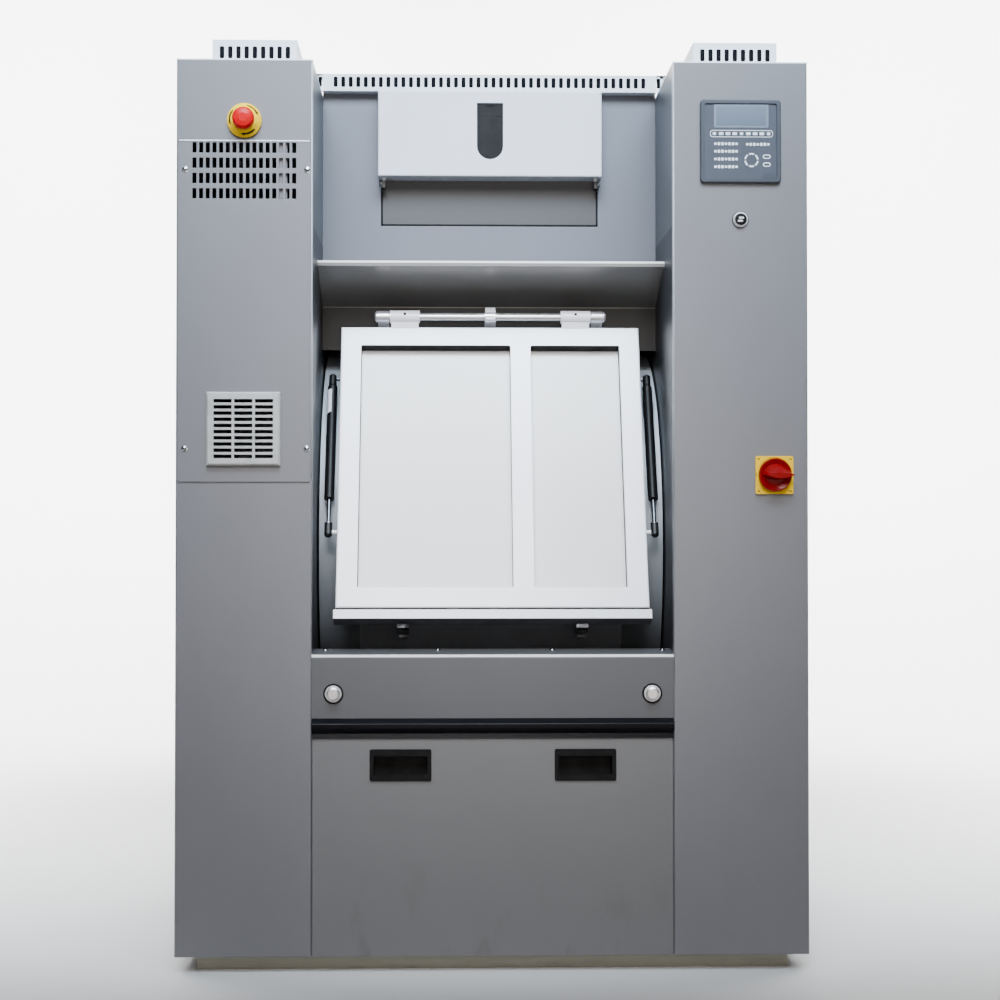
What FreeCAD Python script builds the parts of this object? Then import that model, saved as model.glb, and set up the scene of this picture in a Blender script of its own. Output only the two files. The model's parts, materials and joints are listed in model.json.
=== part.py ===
import FreeCAD, Part
import math
import os

from FreeCAD import Vector as V

# A barrier washer: a laundry machine built into a wall, loaded from the front and emptied at the back.
# Millimetres. +X is the viewer's right, -Y the loading side, +Z up; the origin is on the floor,
# at the centre of the four anchor holes.

# Cabinet
WIDTH = 1400.0
DEPTH = 1340.0
COLUMN_WIDTH = 300.0
COLUMN_TOP = 2015.0
BASE_HEIGHT = 35.0
SHEET = 3.0
FOLD = 25.0
BEND = 4.0
SEAM = 0.5
BASE_INSET = 44.0
RAIL_WIDTH = 90.0
RAIL_WALL = 6.0
ANCHOR_RADIUS = 9.0

# Roof vents and louvres
ROOF_VENT_WIDTH = 190.0
ROOF_VENT_DEPTH = 240.0
ROOF_VENT_HEIGHT = 62.0
ROOF_VENT_SETBACK = 80.0
ROOF_VENT_SHIFT = 15.0
ROOF_SLOTS = 9
ROOF_SLOT_PITCH = 18.5
SLOT_WIDTH = 8.8
SLOT_HEIGHT = 22.7

# Left column: service panel, louvre and emergency stop
SERVICE_BOTTOM = 1078.0
SERVICE_DROP = 181.0
SERVICE_SHEET = 2.5
SERVICE_INSET = 4.0
VENT_COLUMNS = 16
VENT_ROWS = 4
VENT_PITCH_X = 14.65
VENT_PITCH_Z = 33.9
VENT_DROP = 198.0
GRILLE_SIZE = 162.0
GRILLE_THICK = 12.0
GRILLE_LEVEL = 1195.0
GRILLE_ROWS = 10
GRILLE_COLUMNS = 3
GRILLE_MARGIN = 13.0
GRILLE_BAR = 5.5
STOP_DROP = 138.0
STOP_COLLAR_RADIUS = 38.0
STOP_COLLAR_HEIGHT = 20.0
STOP_COLLAR_STEP = 8.0
STOP_COLLAR_NECK = 27.0
STOP_HEAD_RADIUS = 24.0
STOP_HEAD_HEIGHT = 18.0
STOP_STEM_RADIUS = 11.0
STOP_TRAVEL = 4.0
CONTROL_DEPTH = 20.0

# Right column: keypad, key switch and main switch
KEYPAD_WIDTH = 180.0
KEYPAD_HEIGHT = 186.0
KEYPAD_DROP = 179.0
KEYPAD_RIM = 9.0
KEYPAD_CORNER = 5.5
KEYPAD_THICK = 10.0
OVERLAY_RECESS = 3.0
KEY_DROP = 353.0
KEY_RING_RADIUS = 17.0
KEY_RING_HEIGHT = 8.0
KEY_BARREL_RADIUS = 11.0
KEYWAY_LENGTH = 14.0
KEYWAY_WIDTH = 2.4
SWITCH_LEVEL = 1094.0
SWITCH_SHIFT = 74.0
SWITCH_PLATE = 84.0
SWITCH_PLATE_THICK = 6.0
SWITCH_KNOB_RADIUS = 36.5
SWITCH_KNOB_HEIGHT = 14.0
SWITCH_RIM = 2.5
SWITCH_DISH = 5.0
SWITCH_WING = 18.0
SWITCH_NOSE = 5.0
SWITCH_STEM_RADIUS = 9.0

# Bridge between the columns, hood and soap dispenser
BRIDGE_CLEAR = 14.4
BRIDGE_BOTTOM = 1512.0
BRIDGE_RISE = 10.0
STRIP_HEIGHT = 38.0
STRIP_DEPTH = 60.0
STRIP_SLOTS = 42
STRIP_PITCH = 17.95
STRIP_SLOT_WIDTH = 6.6
HOOD_LIP_SETBACK = 180.0
HOOD_LIP_LEVEL = 1593.0
HOOD_LIP_DROP = 12.0
HOOD_SKIRT_BOTTOM = 1405.0
DISPENSER_WIDTH = 520.0
DISPENSER_DROP = 13.0
FLAP_SHARE = 0.388
DISPENSER_FACE_SHARE = 0.2125
DISPENSER_DEPTH = 190.0
FLAP_STANDOFF = 62.0
FLAP_OVERLAP = 6.0
FLAP_PIN_RADIUS = 5.0
FLAP_EAR_RADIUS = 12.0
FLAP_LUG = 9.0
FLAP_LUG_THICK = 8.0
PULL_WIDTH = 62.0
PULL_DROP_SHARE = 0.12
PULL_SHARE = 0.673
PULL_GAP = 3.0
PULL_SLOT = 24.0
PULL_MARK_DROP = 31.0
PULL_MARK = 4.0
PULL_FLANGE = 4.0

# Sill, bumper and lower front panel
SILL_TOP = 697.0
SILL_BOTTOM = 557.0
SILL_LEDGE = 82.0
SILL_RISE = 9.0
BUTTON_LEVEL = 611.0
BUTTON_INSET = 48.0
BUTTON_RADIUS = 15.0
BUTTON_STEM_RADIUS = 13.7
BUTTON_DOME = 3.0
BUTTON_TRAVEL = 5.0
BUMPER_DEPTH = 12.0
LOWER_TOP = 512.0
CUP_SPAN = 408.0
CUP_WIDTH = 136.0
CUP_HEIGHT = 70.0
CUP_LEVEL = 454.0
CUP_DEPTH = 38.0
CUP_RIM = 6.0
CUP_WALL = 2.5
CUP_LIP = 6.5

# Tub, drum and loading doors. Door sizes are laid out in an upright local frame whose origin is on
# the drum's axis, with the door's face towards -Y; lean() then tips it back to its place.
AXIS_LEVEL = 930.0
LEAN = 21.5
TUB_RADIUS = 490.0
TUB_WALL = 4.0
TUB_SIDE_GAP = 5.0
TUB_RIM = 92.0
TUB_SHAFT_GAP = 5.0
TUB_BEAD_INSET = 55.0
TUB_BEAD_WIDTH = 40.0
DOOR_LAP = 6.0
NECK_HEIGHT = 540.0
COLLAR_BORDER = 44.0
COLLAR_STANDOFF = 7.0
COLLAR_SKIRT = 30.0
SEAL_WIDTH = 22.0
SEAL_INSET = 5.0
DRUM_GAP = 38.0
DRUM_WALL = 4.0
DRUM_END_GAP = 12.0
DRUM_END_THICK = 6.0
CONE_DEPTH = 30.0
HATCH_WIDTH = 540.0
HATCH_HEIGHT = 440.0
HATCH_GAP = 1.5
HATCH_HINGE_INSET = 13.0
HATCH_HINGE_DEPTH = 12.0
HATCH_BARREL_RADIUS = 7.0
HATCH_PIN_RADIUS = 4.0
HATCH_LUG = 14.0
RUNNING_FIT = 0.05
CLEAR = 0.3

DOOR_WIDTH = 700.0
DOOR_TOP = 346.0
DOOR_BOTTOM = -355.0
DOOR_GAP = 13.0
DOOR_THICK = 35.0
LINER_THICK = 3.0
DOOR_STILE = 47.0
DOOR_RAIL = 48.0
POCKET_DEPTH = 26.0
MULLION_AT = 47.0
DOOR_PULL_DROP = 28.0
DOOR_PULL_WALL = 3.5
DOOR_PULL_LIP = 6.0
DOOR_PULL_OVERHANG = 4.0
HINGE_PROUD = 5.0
HINGE_UP = 370.0
HINGE_ROD_RADIUS = 9.0
KNUCKLE_RADIUS = 15.0
KNUCKLE_NEAR = 166.0
KNUCKLE_LENGTH = 70.0
KNUCKLE_LUG = 12.0
HINGE_PLAY = 2.0
HINGE_CAP_LENGTH = 8.0
HINGE_ARM_NECK = 7.0
HINGE_CAP_RADIUS = 14.0
HINGE_LUG_WIDTH = 26.0
STRUT_OFFSET = 21.0
STRUT_TOP_SINK = 15.0
STRUT_TOP_UP = 240.0
STRUT_LOW_SINK = 21.0
STRUT_LOW_UP = -166.0
STRUT_TUBE_RADIUS = 11.5
STRUT_ROD_RADIUS = 4.5
STRUT_END_RADIUS = 9.0
STRUT_END_LENGTH = 34.0
STRUT_TUBE_LENGTH = 300.0
STRUT_CROWN = 20.0
STRUT_STUD_RADIUS = 5.0
LATCH_SPAN = 400.0
LATCH_SINK = 19.0
LATCH_UP = -352.0
LATCH_PIN_RADIUS = 4.0
LATCH_WIDTH = 26.0
LATCH_EAR = 5.0
LATCH_EAR_TIP = 10.0
LATCH_ARM = 9.0
LATCH_TOE = 16.0
LATCH_ROLLER_RADIUS = 7.0

# Drive in the left column
SHAFT_RADIUS = 35.0
HOUSING_RADIUS = 92.0
HOUSING_LENGTH = 110.0
PULLEY_RADIUS = 215.0
PULLEY_WIDTH = 62.0
PULLEY_GAP = 10.0
PULLEY_HOLES = 6
MOTOR_PULLEY_RADIUS = 55.0
MOTOR_RADIUS = 112.0
MOTOR_LENGTH = 190.0
MOTOR_LEVEL = 260.0
MOTOR_FLANGE_RADIUS = 130.0
FLANGE_THICK = 12.0
HOUSING_FLANGE_RADIUS = 130.0
MOTOR_SHAFT_RADIUS = 19.0
MOTOR_BORE = 60.0
MOTOR_DOME = 25.0
TERMINAL_BOX = 100.0
TERMINAL_RISE = 30.0
BELT_EDGE = 4.0
BELT_THICK = 9.0

# Pipe stubs: the waste outlet under the tub and the water inlets at the back
DRAIN_RADIUS = 38.0
DRAIN_LENGTH = 50.0
DRAIN_FLANGE_RADIUS = 52.0
DRAIN_FLANGE_DROP = 10.0
INLET_RADIUS = 13.0
INLET_LENGTH = 40.0
INLET_PITCH = 70.0
INLET_DROP = 135.0

# Derived places
FRONT = -DEPTH / 2
REAR = DEPTH / 2
SIDE = WIDTH / 2
GAP = SIDE - COLUMN_WIDTH
ROOF = COLUMN_TOP - SHEET
COLUMN_X = GAP + COLUMN_WIDTH / 2
WALL_FRONT = FRONT + FOLD + SEAM
TUB_END = GAP - TUB_SIDE_GAP
NECK_WIDTH = DOOR_WIDTH - 2 * (DOOR_LAP + COLLAR_BORDER)
SERVICE_TOP = COLUMN_TOP - SERVICE_DROP
VENT_TOP_ROW = COLUMN_TOP - VENT_DROP
STOP_LEVEL = COLUMN_TOP - STOP_DROP
KEYPAD_LEVEL = COLUMN_TOP - KEYPAD_DROP
KEY_LEVEL = COLUMN_TOP - KEY_DROP
INLET_LEVEL = COLUMN_TOP - INLET_DROP
BRIDGE_TOP = COLUMN_TOP + BRIDGE_RISE
DISPENSER_TOP = BRIDGE_TOP - DISPENSER_DROP
BRIDGE_HEIGHT = BRIDGE_TOP - BRIDGE_BOTTOM
FLAP_HEIGHT = BRIDGE_HEIGHT * FLAP_SHARE
DISPENSER_SPLIT = DISPENSER_TOP - FLAP_HEIGHT
DISPENSER_BOTTOM = DISPENSER_SPLIT - BRIDGE_HEIGHT * DISPENSER_FACE_SHARE
PULL_TOP = DISPENSER_TOP - FLAP_HEIGHT * PULL_DROP_SHARE
PULL_BOTTOM = PULL_TOP - FLAP_HEIGHT * PULL_SHARE
DRUM_RADIUS = TUB_RADIUS - DRUM_GAP
COLLAR_FACE = TUB_RADIUS + COLLAR_STANDOFF
DOOR_BACK = COLLAR_FACE + DOOR_GAP
DOOR_FACE = DOOR_BACK + DOOR_THICK
HINGE_OUT = DOOR_FACE + HINGE_PROUD
STRUT_TOP_OUT = COLLAR_FACE - STRUT_TOP_SINK
STRUT_LOW_OUT = DOOR_FACE - STRUT_LOW_SINK
LATCH_OUT = COLLAR_FACE - LATCH_SINK
BUTTON_X = GAP - BUTTON_INSET
OVER = 1.0
NODES = {}


# Shape helpers
def box(x0, x1, y0, y1, z0, z1):
    return Part.makeBox(x1 - x0, y1 - y0, z1 - z0, V(x0, y0, z0))


def rod(start, end, radius):
    """Cylinder from one point to another."""
    line = V(*end) - V(*start)
    return Part.makeCylinder(radius, line.Length, V(*start), line)


def rod_x(x0, x1, y, z, radius):
    return rod((x0, y, z), (x1, y, z), radius)


def rod_y(x, z, y0, y1, radius):
    return rod((x, y0, z), (x, y1, z), radius)


def prism(points, direction):
    """Polygon pushed along a direction."""
    corners = [V(*p) for p in points]
    return Part.Face(Part.makePolygon(corners + corners[:1])).extrude(V(*direction))


def section_x(points, x0, x1):
    """Profile of (y, z) points pushed along X."""
    return prism([(x0, y, z) for y, z in points], (x1 - x0, 0, 0))


def section_z(points, z0, z1):
    """Profile of (x, y) points pushed up Z."""
    return prism([(x, y, z0) for x, y in points], (0, 0, z1 - z0))


def turned(profile, start, axis):
    """Solid of revolution: (distance along the axis, radius) pairs turned about the axis from start."""
    along = V(*axis)
    across = V(1, 0, 0) if abs(along.x) < 0.5 else V(0, 0, 1)
    corners = [V(*start) + along * a + across * r for a, r in profile]
    return Part.Face(Part.makePolygon(corners + corners[:1])).revolve(V(*start), along, 360)


def round_edges(shape, radius, wanted):
    """Fillet every straight edge that the test picks."""
    picked = [e for e in shape.Edges if len(e.Vertexes) == 2 and wanted(e)]
    return shape.makeFillet(radius, picked) if picked else shape


def along(edge, name):
    """True for a straight edge that runs along the named axis."""
    a, b = (v.Point for v in edge.Vertexes)
    return abs(abs(getattr(b - a, name)) - (b - a).Length) < 1e-6


def at(edge, **place):
    """True where the middle of an edge lies at the given coordinates."""
    middle = edge.CenterOfMass
    return all(abs(getattr(middle, k) - v) < 1e-3 for k, v in place.items())


def mirror_x(shape):
    return shape.mirror(V(0, 0, 0), V(1, 0, 0))


def mirror_y(shape):
    return shape.mirror(V(0, 0, 0), V(0, 1, 0))


def slots(count_x, pitch_x, count_z, pitch_z, centre_x, top_z, y0, y1, width=SLOT_WIDTH, height=SLOT_HEIGHT):
    """Grid of upright slot cutters, rows counted down from the top one."""
    first = centre_x - pitch_x * (count_x - 1) / 2
    cutters = []
    for row in range(count_z):
        level = top_z - row * pitch_z
        for column in range(count_x):
            x = first + column * pitch_x
            cutters.append(box(x - width / 2, x + width / 2, y0, y1, level - height / 2, level + height / 2))
    return cutters


def lean_point(out, up):
    """(y, z) of a point given by its distance out from the drum's axis and its height up the door."""
    cosine, sine = math.cos(math.radians(LEAN)), math.sin(math.radians(LEAN))
    return (-out * cosine + up * sine, AXIS_LEVEL + out * sine + up * cosine)


# The bridge and its hood stand just behind the arms of the door's hinge
BRIDGE_FRONT = lean_point(COLLAR_FACE - COLLAR_SKIRT, HINGE_UP - KNUCKLE_RADIUS)[0] + BRIDGE_CLEAR


def hinge_arm_places():
    """Left edge of each arm that carries a door's hinge rod."""
    near = KNUCKLE_NEAR + KNUCKLE_LENGTH + HINGE_PLAY
    return (-near - HINGE_LUG_WIDTH, -HINGE_LUG_WIDTH / 2, near)


def keep(name, shape):
    """Clean a finished piece and store it under its node name."""
    NODES[name] = shape.removeSplitter()


# Base: two cross rails the width of the machine and two side rails between them, all channels;
# an anchor hole near each end of the side rails
def channel(outer):
    """Channel section on the floor: its web at the outer distance, its two flanges turned inwards."""
    inner, web = outer - RAIL_WIDTH, outer - RAIL_WALL
    high = BASE_HEIGHT - RAIL_WALL
    return [(outer, 0), (outer, BASE_HEIGHT), (inner, BASE_HEIGHT), (inner, high), (web, high),
            (web, RAIL_WALL), (inner, RAIL_WALL), (inner, 0)]


def base_rails():
    rail_side = SIDE - BASE_INSET
    rail_end = REAR - BASE_INSET
    reach = rail_end - RAIL_WIDTH
    side_rail = prism([(x, -reach, z) for x, z in channel(rail_side)], (0, 2 * reach, 0))
    for y in (-ANCHOR_Y, ANCHOR_Y):
        side_rail = side_rail.cut(rod((ANCHOR_X, y, -OVER), (ANCHOR_X, y, BASE_HEIGHT + OVER), ANCHOR_RADIUS))
    cross_rail = section_x(channel(rail_end), -rail_side, rail_side)
    return Part.Compound([side_rail, mirror_x(side_rail), cross_rail, mirror_y(cross_rail)])


ANCHOR_X = SIDE - BASE_INSET - RAIL_WIDTH / 2
ANCHOR_Y = REAR - BASE_INSET - 2 * RAIL_WIDTH
NODES["base_rails"] = base_rails()


# Columns: each is a folded side-and-back wrap, an inner wall, a folded front and a roof with its vent box
def side_wrap():
    wrap = section_z([(-SIDE, WALL_FRONT), (-SIDE, REAR), (-GAP, REAR), (-GAP, REAR - SHEET),
                      (-SIDE + SHEET, REAR - SHEET), (-SIDE + SHEET, WALL_FRONT)], BASE_HEIGHT, ROOF)
    wrap = round_edges(wrap, BEND, lambda e: along(e, "z") and at(e, x=-SIDE, y=REAR))
    return round_edges(wrap, BEND - SHEET, lambda e: along(e, "z") and at(e, x=-SIDE + SHEET, y=REAR - SHEET))


def inner_wall():
    wall = box(-GAP - SHEET, -GAP, WALL_FRONT, REAR - SHEET, BASE_HEIGHT, ROOF)
    return wall.cut(rod_x(-GAP - SHEET - OVER, -GAP + OVER, 0, AXIS_LEVEL, HOUSING_RADIUS + CLEAR))


def motor_shaft_hole():
    return rod_x(-GAP - SHEET - OVER, -GAP + OVER, 0, MOTOR_LEVEL, MOTOR_SHAFT_RADIUS + SHEET)


def folded_front(x0, x1, z0, z1):
    """Sheet front between two upright edges folded back."""
    back = FRONT + FOLD
    inside = FRONT + SHEET
    front = section_z([(x0, FRONT), (x1, FRONT), (x1, back), (x1 - SHEET, back), (x1 - SHEET, inside),
                       (x0 + SHEET, inside), (x0 + SHEET, back), (x0, back)], z0, z1)
    corner = lambda e: at(e, x=x0, y=FRONT) or at(e, x=x1, y=FRONT)
    return round_edges(front, BEND, lambda e: along(e, "z") and corner(e))


def roof_cover(vent_x):
    cover = box(-SIDE, -GAP, FRONT, REAR, ROOF, COLUMN_TOP)
    half = ROOF_VENT_WIDTH / 2
    y0 = FRONT + ROOF_VENT_SETBACK
    y1 = y0 + ROOF_VENT_DEPTH
    top = COLUMN_TOP + ROOF_VENT_HEIGHT
    cover = cover.fuse(box(vent_x - half, vent_x + half, y0, y1, COLUMN_TOP, top))
    inside = half - SHEET
    cover = cover.cut(box(vent_x - inside, vent_x + inside, y0 + SHEET, y1 - SHEET, ROOF - OVER, top - SHEET))
    level = COLUMN_TOP + ROOF_VENT_HEIGHT / 2
    return cover.cut(slots(ROOF_SLOTS, ROOF_SLOT_PITCH, 1, 0, vent_x, level, y0 - OVER, y0 + SHEET + OVER))


def inlet_stubs():
    """Two water inlets through the back of the left column."""
    stubs = []
    for side in (-1, 1):
        x = -COLUMN_X + side * INLET_PITCH / 2
        end = REAR + INLET_LENGTH
        pipe = rod_y(x, INLET_LEVEL, REAR - SHEET, end, INLET_RADIUS)
        stubs.append(pipe.cut(rod_y(x, INLET_LEVEL, REAR + SHEET, end + OVER, INLET_RADIUS - SHEET)))
    return stubs


keep("left_side_panel", side_wrap().fuse(inlet_stubs()))
keep("right_side_panel", mirror_x(side_wrap()))
keep("left_inner_wall", inner_wall().cut(motor_shaft_hole()))
keep("right_inner_wall", mirror_x(inner_wall()))
keep("left_roof_cover", roof_cover(-COLUMN_X + ROOF_VENT_SHIFT))
keep("right_roof_cover", mirror_x(roof_cover(-COLUMN_X)))


# Left column front: fixed panel, screwed service panel, louvre and emergency stop
def fan_opening(y0, y1):
    """Square cutter as large as the louvre's field of slats."""
    half = GRILLE_SIZE / 2 - GRILLE_MARGIN
    return box(-COLUMN_X - half, -COLUMN_X + half, y0, y1, GRILLE_LEVEL - half, GRILLE_LEVEL + half)


def left_front():
    front = folded_front(-SIDE, -GAP, BASE_HEIGHT, ROOF)
    half = VENT_PITCH_X * VENT_COLUMNS / 2
    top = VENT_TOP_ROW + VENT_PITCH_Z / 2
    bottom = top - VENT_PITCH_Z * VENT_ROWS
    y0, y1 = FRONT - OVER, FRONT + SHEET + OVER
    front = front.cut(box(-COLUMN_X - half, -COLUMN_X + half, y0, y1, bottom, top))
    front = front.cut(fan_opening(y0, y1))
    return front.cut(rod_y(-COLUMN_X, STOP_LEVEL, y0, y1, STOP_STEM_RADIUS + CLEAR))


def service_panel():
    y0 = FRONT - SERVICE_SHEET
    panel = box(-SIDE + SERVICE_INSET, -GAP - SERVICE_INSET, y0, FRONT, SERVICE_BOTTOM, SERVICE_TOP)
    panel = round_edges(panel, BEND, lambda e: along(e, "y"))
    panel = panel.cut(slots(VENT_COLUMNS, VENT_PITCH_X, VENT_ROWS, VENT_PITCH_Z, -COLUMN_X, VENT_TOP_ROW,
                            y0 - OVER, FRONT + OVER))
    return panel.cut(fan_opening(y0 - OVER, FRONT + OVER))


def louvre():
    back = FRONT - SERVICE_SHEET
    half = GRILLE_SIZE / 2
    face = back - GRILLE_THICK
    plate = box(-COLUMN_X - half, -COLUMN_X + half, face, back, GRILLE_LEVEL - half, GRILLE_LEVEL + half)
    plate = plate.makeChamfer(BEND, [e for e in plate.Edges if at(e, y=face)])
    field = GRILLE_SIZE - 2 * GRILLE_MARGIN
    pitch_x = field / GRILLE_COLUMNS
    pitch_z = field / GRILLE_ROWS
    first_level = GRILLE_LEVEL + pitch_z * (GRILLE_ROWS - 1) / 2
    return plate.cut(slots(GRILLE_COLUMNS, pitch_x, GRILLE_ROWS, pitch_z, -COLUMN_X, first_level,
                           face - OVER, back + OVER, pitch_x - GRILLE_BAR, pitch_z - GRILLE_BAR))


keep("left_front_panel", left_front())
keep("service_panel", service_panel())
keep("air_louvre", louvre())

STOP_SEAT = (-COLUMN_X, FRONT, STOP_LEVEL)
STOP_BORE = STOP_STEM_RADIUS + RUNNING_FIT
STOP_FACE = STOP_COLLAR_HEIGHT + STOP_TRAVEL + SHEET
STOP_TIP = STOP_FACE + STOP_HEAD_HEIGHT
keep("stop_collar", turned([(0, STOP_BORE), (0, STOP_COLLAR_RADIUS), (STOP_COLLAR_STEP, STOP_COLLAR_RADIUS),
                            (STOP_COLLAR_HEIGHT, STOP_COLLAR_NECK), (STOP_COLLAR_HEIGHT, STOP_BORE)],
                           STOP_SEAT, (0, -1, 0)))
keep("stop_button", turned([(-CONTROL_DEPTH, 0), (-CONTROL_DEPTH, STOP_STEM_RADIUS),
                            (STOP_FACE, STOP_STEM_RADIUS), (STOP_FACE, STOP_HEAD_RADIUS),
                            (STOP_TIP - STOP_HEAD_HEIGHT / 2, STOP_HEAD_RADIUS),
                            (STOP_TIP - STOP_HEAD_HEIGHT / 6, STOP_HEAD_RADIUS * 0.8),
                            (STOP_TIP, STOP_HEAD_RADIUS * 0.4), (STOP_TIP, 0)], STOP_SEAT, (0, -1, 0)))


# Right column front: keypad frame with its membrane, key switch and main switch
def keypad_block(inset, y0, y1):
    """Block on the keypad's centre, as large as its frame less an inset."""
    half, tall = KEYPAD_WIDTH / 2 - inset, KEYPAD_HEIGHT / 2 - inset
    return box(COLUMN_X - half, COLUMN_X + half, y0, y1, KEYPAD_LEVEL - tall, KEYPAD_LEVEL + tall)


def right_front():
    front = folded_front(GAP, SIDE, BASE_HEIGHT, ROOF)
    y0, y1 = FRONT - OVER, FRONT + SHEET + OVER
    front = front.cut(keypad_block(2 * KEYPAD_RIM, y0, y1))
    front = front.cut(rod_y(COLUMN_X, KEY_LEVEL, y0, y1, KEY_BARREL_RADIUS + CLEAR))
    return front.cut(rod_y(SWITCH_X, SWITCH_LEVEL, y0, y1, SWITCH_STEM_RADIUS + CLEAR))


def keypad_frame():
    face = FRONT - KEYPAD_THICK
    frame = round_edges(keypad_block(0, face, FRONT), KEYPAD_RIM, lambda e: along(e, "y"))
    frame = frame.makeFillet(BEND, [e for e in frame.Edges if at(e, y=face)])
    pocket = keypad_block(KEYPAD_RIM, face - OVER, FRONT - OVERLAY_RECESS)
    return frame.cut(round_edges(pocket, KEYPAD_CORNER, lambda e: along(e, "y")))


def keypad_membrane():
    sheet = keypad_block(KEYPAD_RIM + SEAM, FRONT - KEYPAD_THICK + OVERLAY_RECESS, FRONT - OVERLAY_RECESS)
    return round_edges(sheet, KEYPAD_CORNER, lambda e: along(e, "y"))


def switch_plate():
    half = SWITCH_PLATE / 2
    face = FRONT - SWITCH_PLATE_THICK
    plate = box(SWITCH_X - half, SWITCH_X + half, face, FRONT, SWITCH_LEVEL - half, SWITCH_LEVEL + half)
    plate = round_edges(plate, BEND, lambda e: along(e, "y"))
    bore = SWITCH_STEM_RADIUS + RUNNING_FIT
    return plate.cut(rod_y(SWITCH_X, SWITCH_LEVEL, face - OVER, FRONT + OVER, bore))


def lens(y, left, right, above, below):
    """Pointed outline of the knob's wing, at one distance out from the panel."""
    tips = V(SWITCH_X + left, y, SWITCH_LEVEL), V(SWITCH_X + right, y, SWITCH_LEVEL)
    middle = SWITCH_X + (left + right) / 2
    low = Part.Arc(tips[0], V(middle, y, SWITCH_LEVEL - below), tips[1]).toShape()
    high = Part.Arc(tips[1], V(middle, y, SWITCH_LEVEL + above), tips[0]).toShape()
    return Part.Wire([low, high])


def switch_knob():
    """Dished disc with a wing across it: a sloped upper side, a steep lower side and a nose to the right."""
    base = SWITCH_PLATE_THICK + SEAM
    face = base + SWITCH_KNOB_HEIGHT
    floor = face - SWITCH_DISH
    radius = SWITCH_KNOB_RADIUS
    knob = turned([(-CONTROL_DEPTH, 0), (-CONTROL_DEPTH, SWITCH_STEM_RADIUS), (base, SWITCH_STEM_RADIUS),
                   (base, radius), (face - SEAM, radius), (face, radius - SEAM), (face, radius - SWITCH_RIM),
                   (floor, radius * 0.6), (floor, 0)], (SWITCH_X, FRONT, SWITCH_LEVEL), (0, -1, 0))
    nose = radius + SWITCH_NOSE
    foot = lens(FRONT - floor + SEAM, -radius * 0.85, radius * 0.95, radius * 0.7, radius * 0.3)
    edge = lens(FRONT - face - SWITCH_WING, -radius * 0.6, nose, radius * 0.1, radius * 0.22)
    return knob.fuse(Part.makeLoft([foot, edge], True, True))


SWITCH_X = COLUMN_X + SWITCH_SHIFT
keep("right_front_panel", right_front())
keep("keypad_frame", keypad_frame())
keep("keypad_membrane", keypad_membrane())
KEY_SEAT = (COLUMN_X, FRONT, KEY_LEVEL)
KEY_BORE = KEY_BARREL_RADIUS + RUNNING_FIT
keep("key_switch_ring", turned([(0, KEY_BORE), (0, KEY_RING_RADIUS), (KEY_RING_HEIGHT / 2, KEY_RING_RADIUS),
                                (KEY_RING_HEIGHT, KEY_RING_RADIUS - SHEET), (KEY_RING_HEIGHT, KEY_BORE)],
                               KEY_SEAT, (0, -1, 0)))
KEY_FACE = KEY_RING_HEIGHT - SEAM
barrel = rod_y(COLUMN_X, KEY_LEVEL, FRONT - KEY_FACE, FRONT + CONTROL_DEPTH, KEY_BARREL_RADIUS)
keyway = box(COLUMN_X - KEYWAY_LENGTH / 2, COLUMN_X + KEYWAY_LENGTH / 2, FRONT - KEY_FACE - OVER, FRONT,
             KEY_LEVEL - KEYWAY_WIDTH / 2, KEY_LEVEL + KEYWAY_WIDTH / 2)
keep("key_switch_barrel", barrel.cut(keyway))
keep("main_switch_plate", switch_plate())
keep("main_switch_knob", switch_knob())


# Bridge: front and back panels high between the columns, with a roof that carries a slotted vent strip
def bridge_panel():
    y0, y1 = BRIDGE_FRONT, BRIDGE_FRONT + SHEET
    panel = box(-GAP, GAP, y0, y1, BRIDGE_BOTTOM, BRIDGE_TOP - SHEET)
    half = DISPENSER_WIDTH / 2 + SEAM
    return panel.cut(box(-half, half, y0 - OVER, y1 + OVER, DISPENSER_BOTTOM - SEAM, DISPENSER_TOP + SEAM))


def bridge_roof():
    y0 = BRIDGE_FRONT - STRIP_DEPTH / 2
    y1 = y0 + STRIP_DEPTH
    top = BRIDGE_TOP + STRIP_HEIGHT
    half = GAP - SEAM
    roof = box(-half, half, y0, -BRIDGE_FRONT, BRIDGE_TOP - SHEET, BRIDGE_TOP)
    roof = roof.fuse(box(-half, half, y0, y1, BRIDGE_TOP, top))
    inside = half - SHEET
    roof = roof.cut(box(-inside, inside, y0 + SHEET, y1 - SHEET, BRIDGE_TOP, top - SHEET))
    level = BRIDGE_TOP + STRIP_HEIGHT / 2
    return roof.cut(slots(STRIP_SLOTS, STRIP_PITCH, 1, 0, 0, level, y0 - OVER, y0 + SHEET + OVER,
                          STRIP_SLOT_WIDTH))


def hood():
    """Visor over the loading door: folded lip, sloping face and a skirt down to the door collar."""
    lip_y = FRONT + HOOD_LIP_SETBACK
    slope = math.atan2(HOOD_LIP_LEVEL - BRIDGE_BOTTOM, BRIDGE_FRONT - lip_y)
    rise = SHEET / math.cos(slope)
    profile = [(lip_y, HOOD_LIP_LEVEL), (BRIDGE_FRONT + SHEET, BRIDGE_BOTTOM - SHEET * math.tan(slope)),
               (BRIDGE_FRONT + SHEET, HOOD_SKIRT_BOTTOM), (BRIDGE_FRONT, HOOD_SKIRT_BOTTOM),
               (BRIDGE_FRONT, BRIDGE_BOTTOM - rise), (lip_y + SHEET, HOOD_LIP_LEVEL - rise),
               (lip_y + SHEET, HOOD_LIP_LEVEL - HOOD_LIP_DROP), (lip_y, HOOD_LIP_LEVEL - HOOD_LIP_DROP)]
    return section_x(profile, -GAP, GAP)


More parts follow.
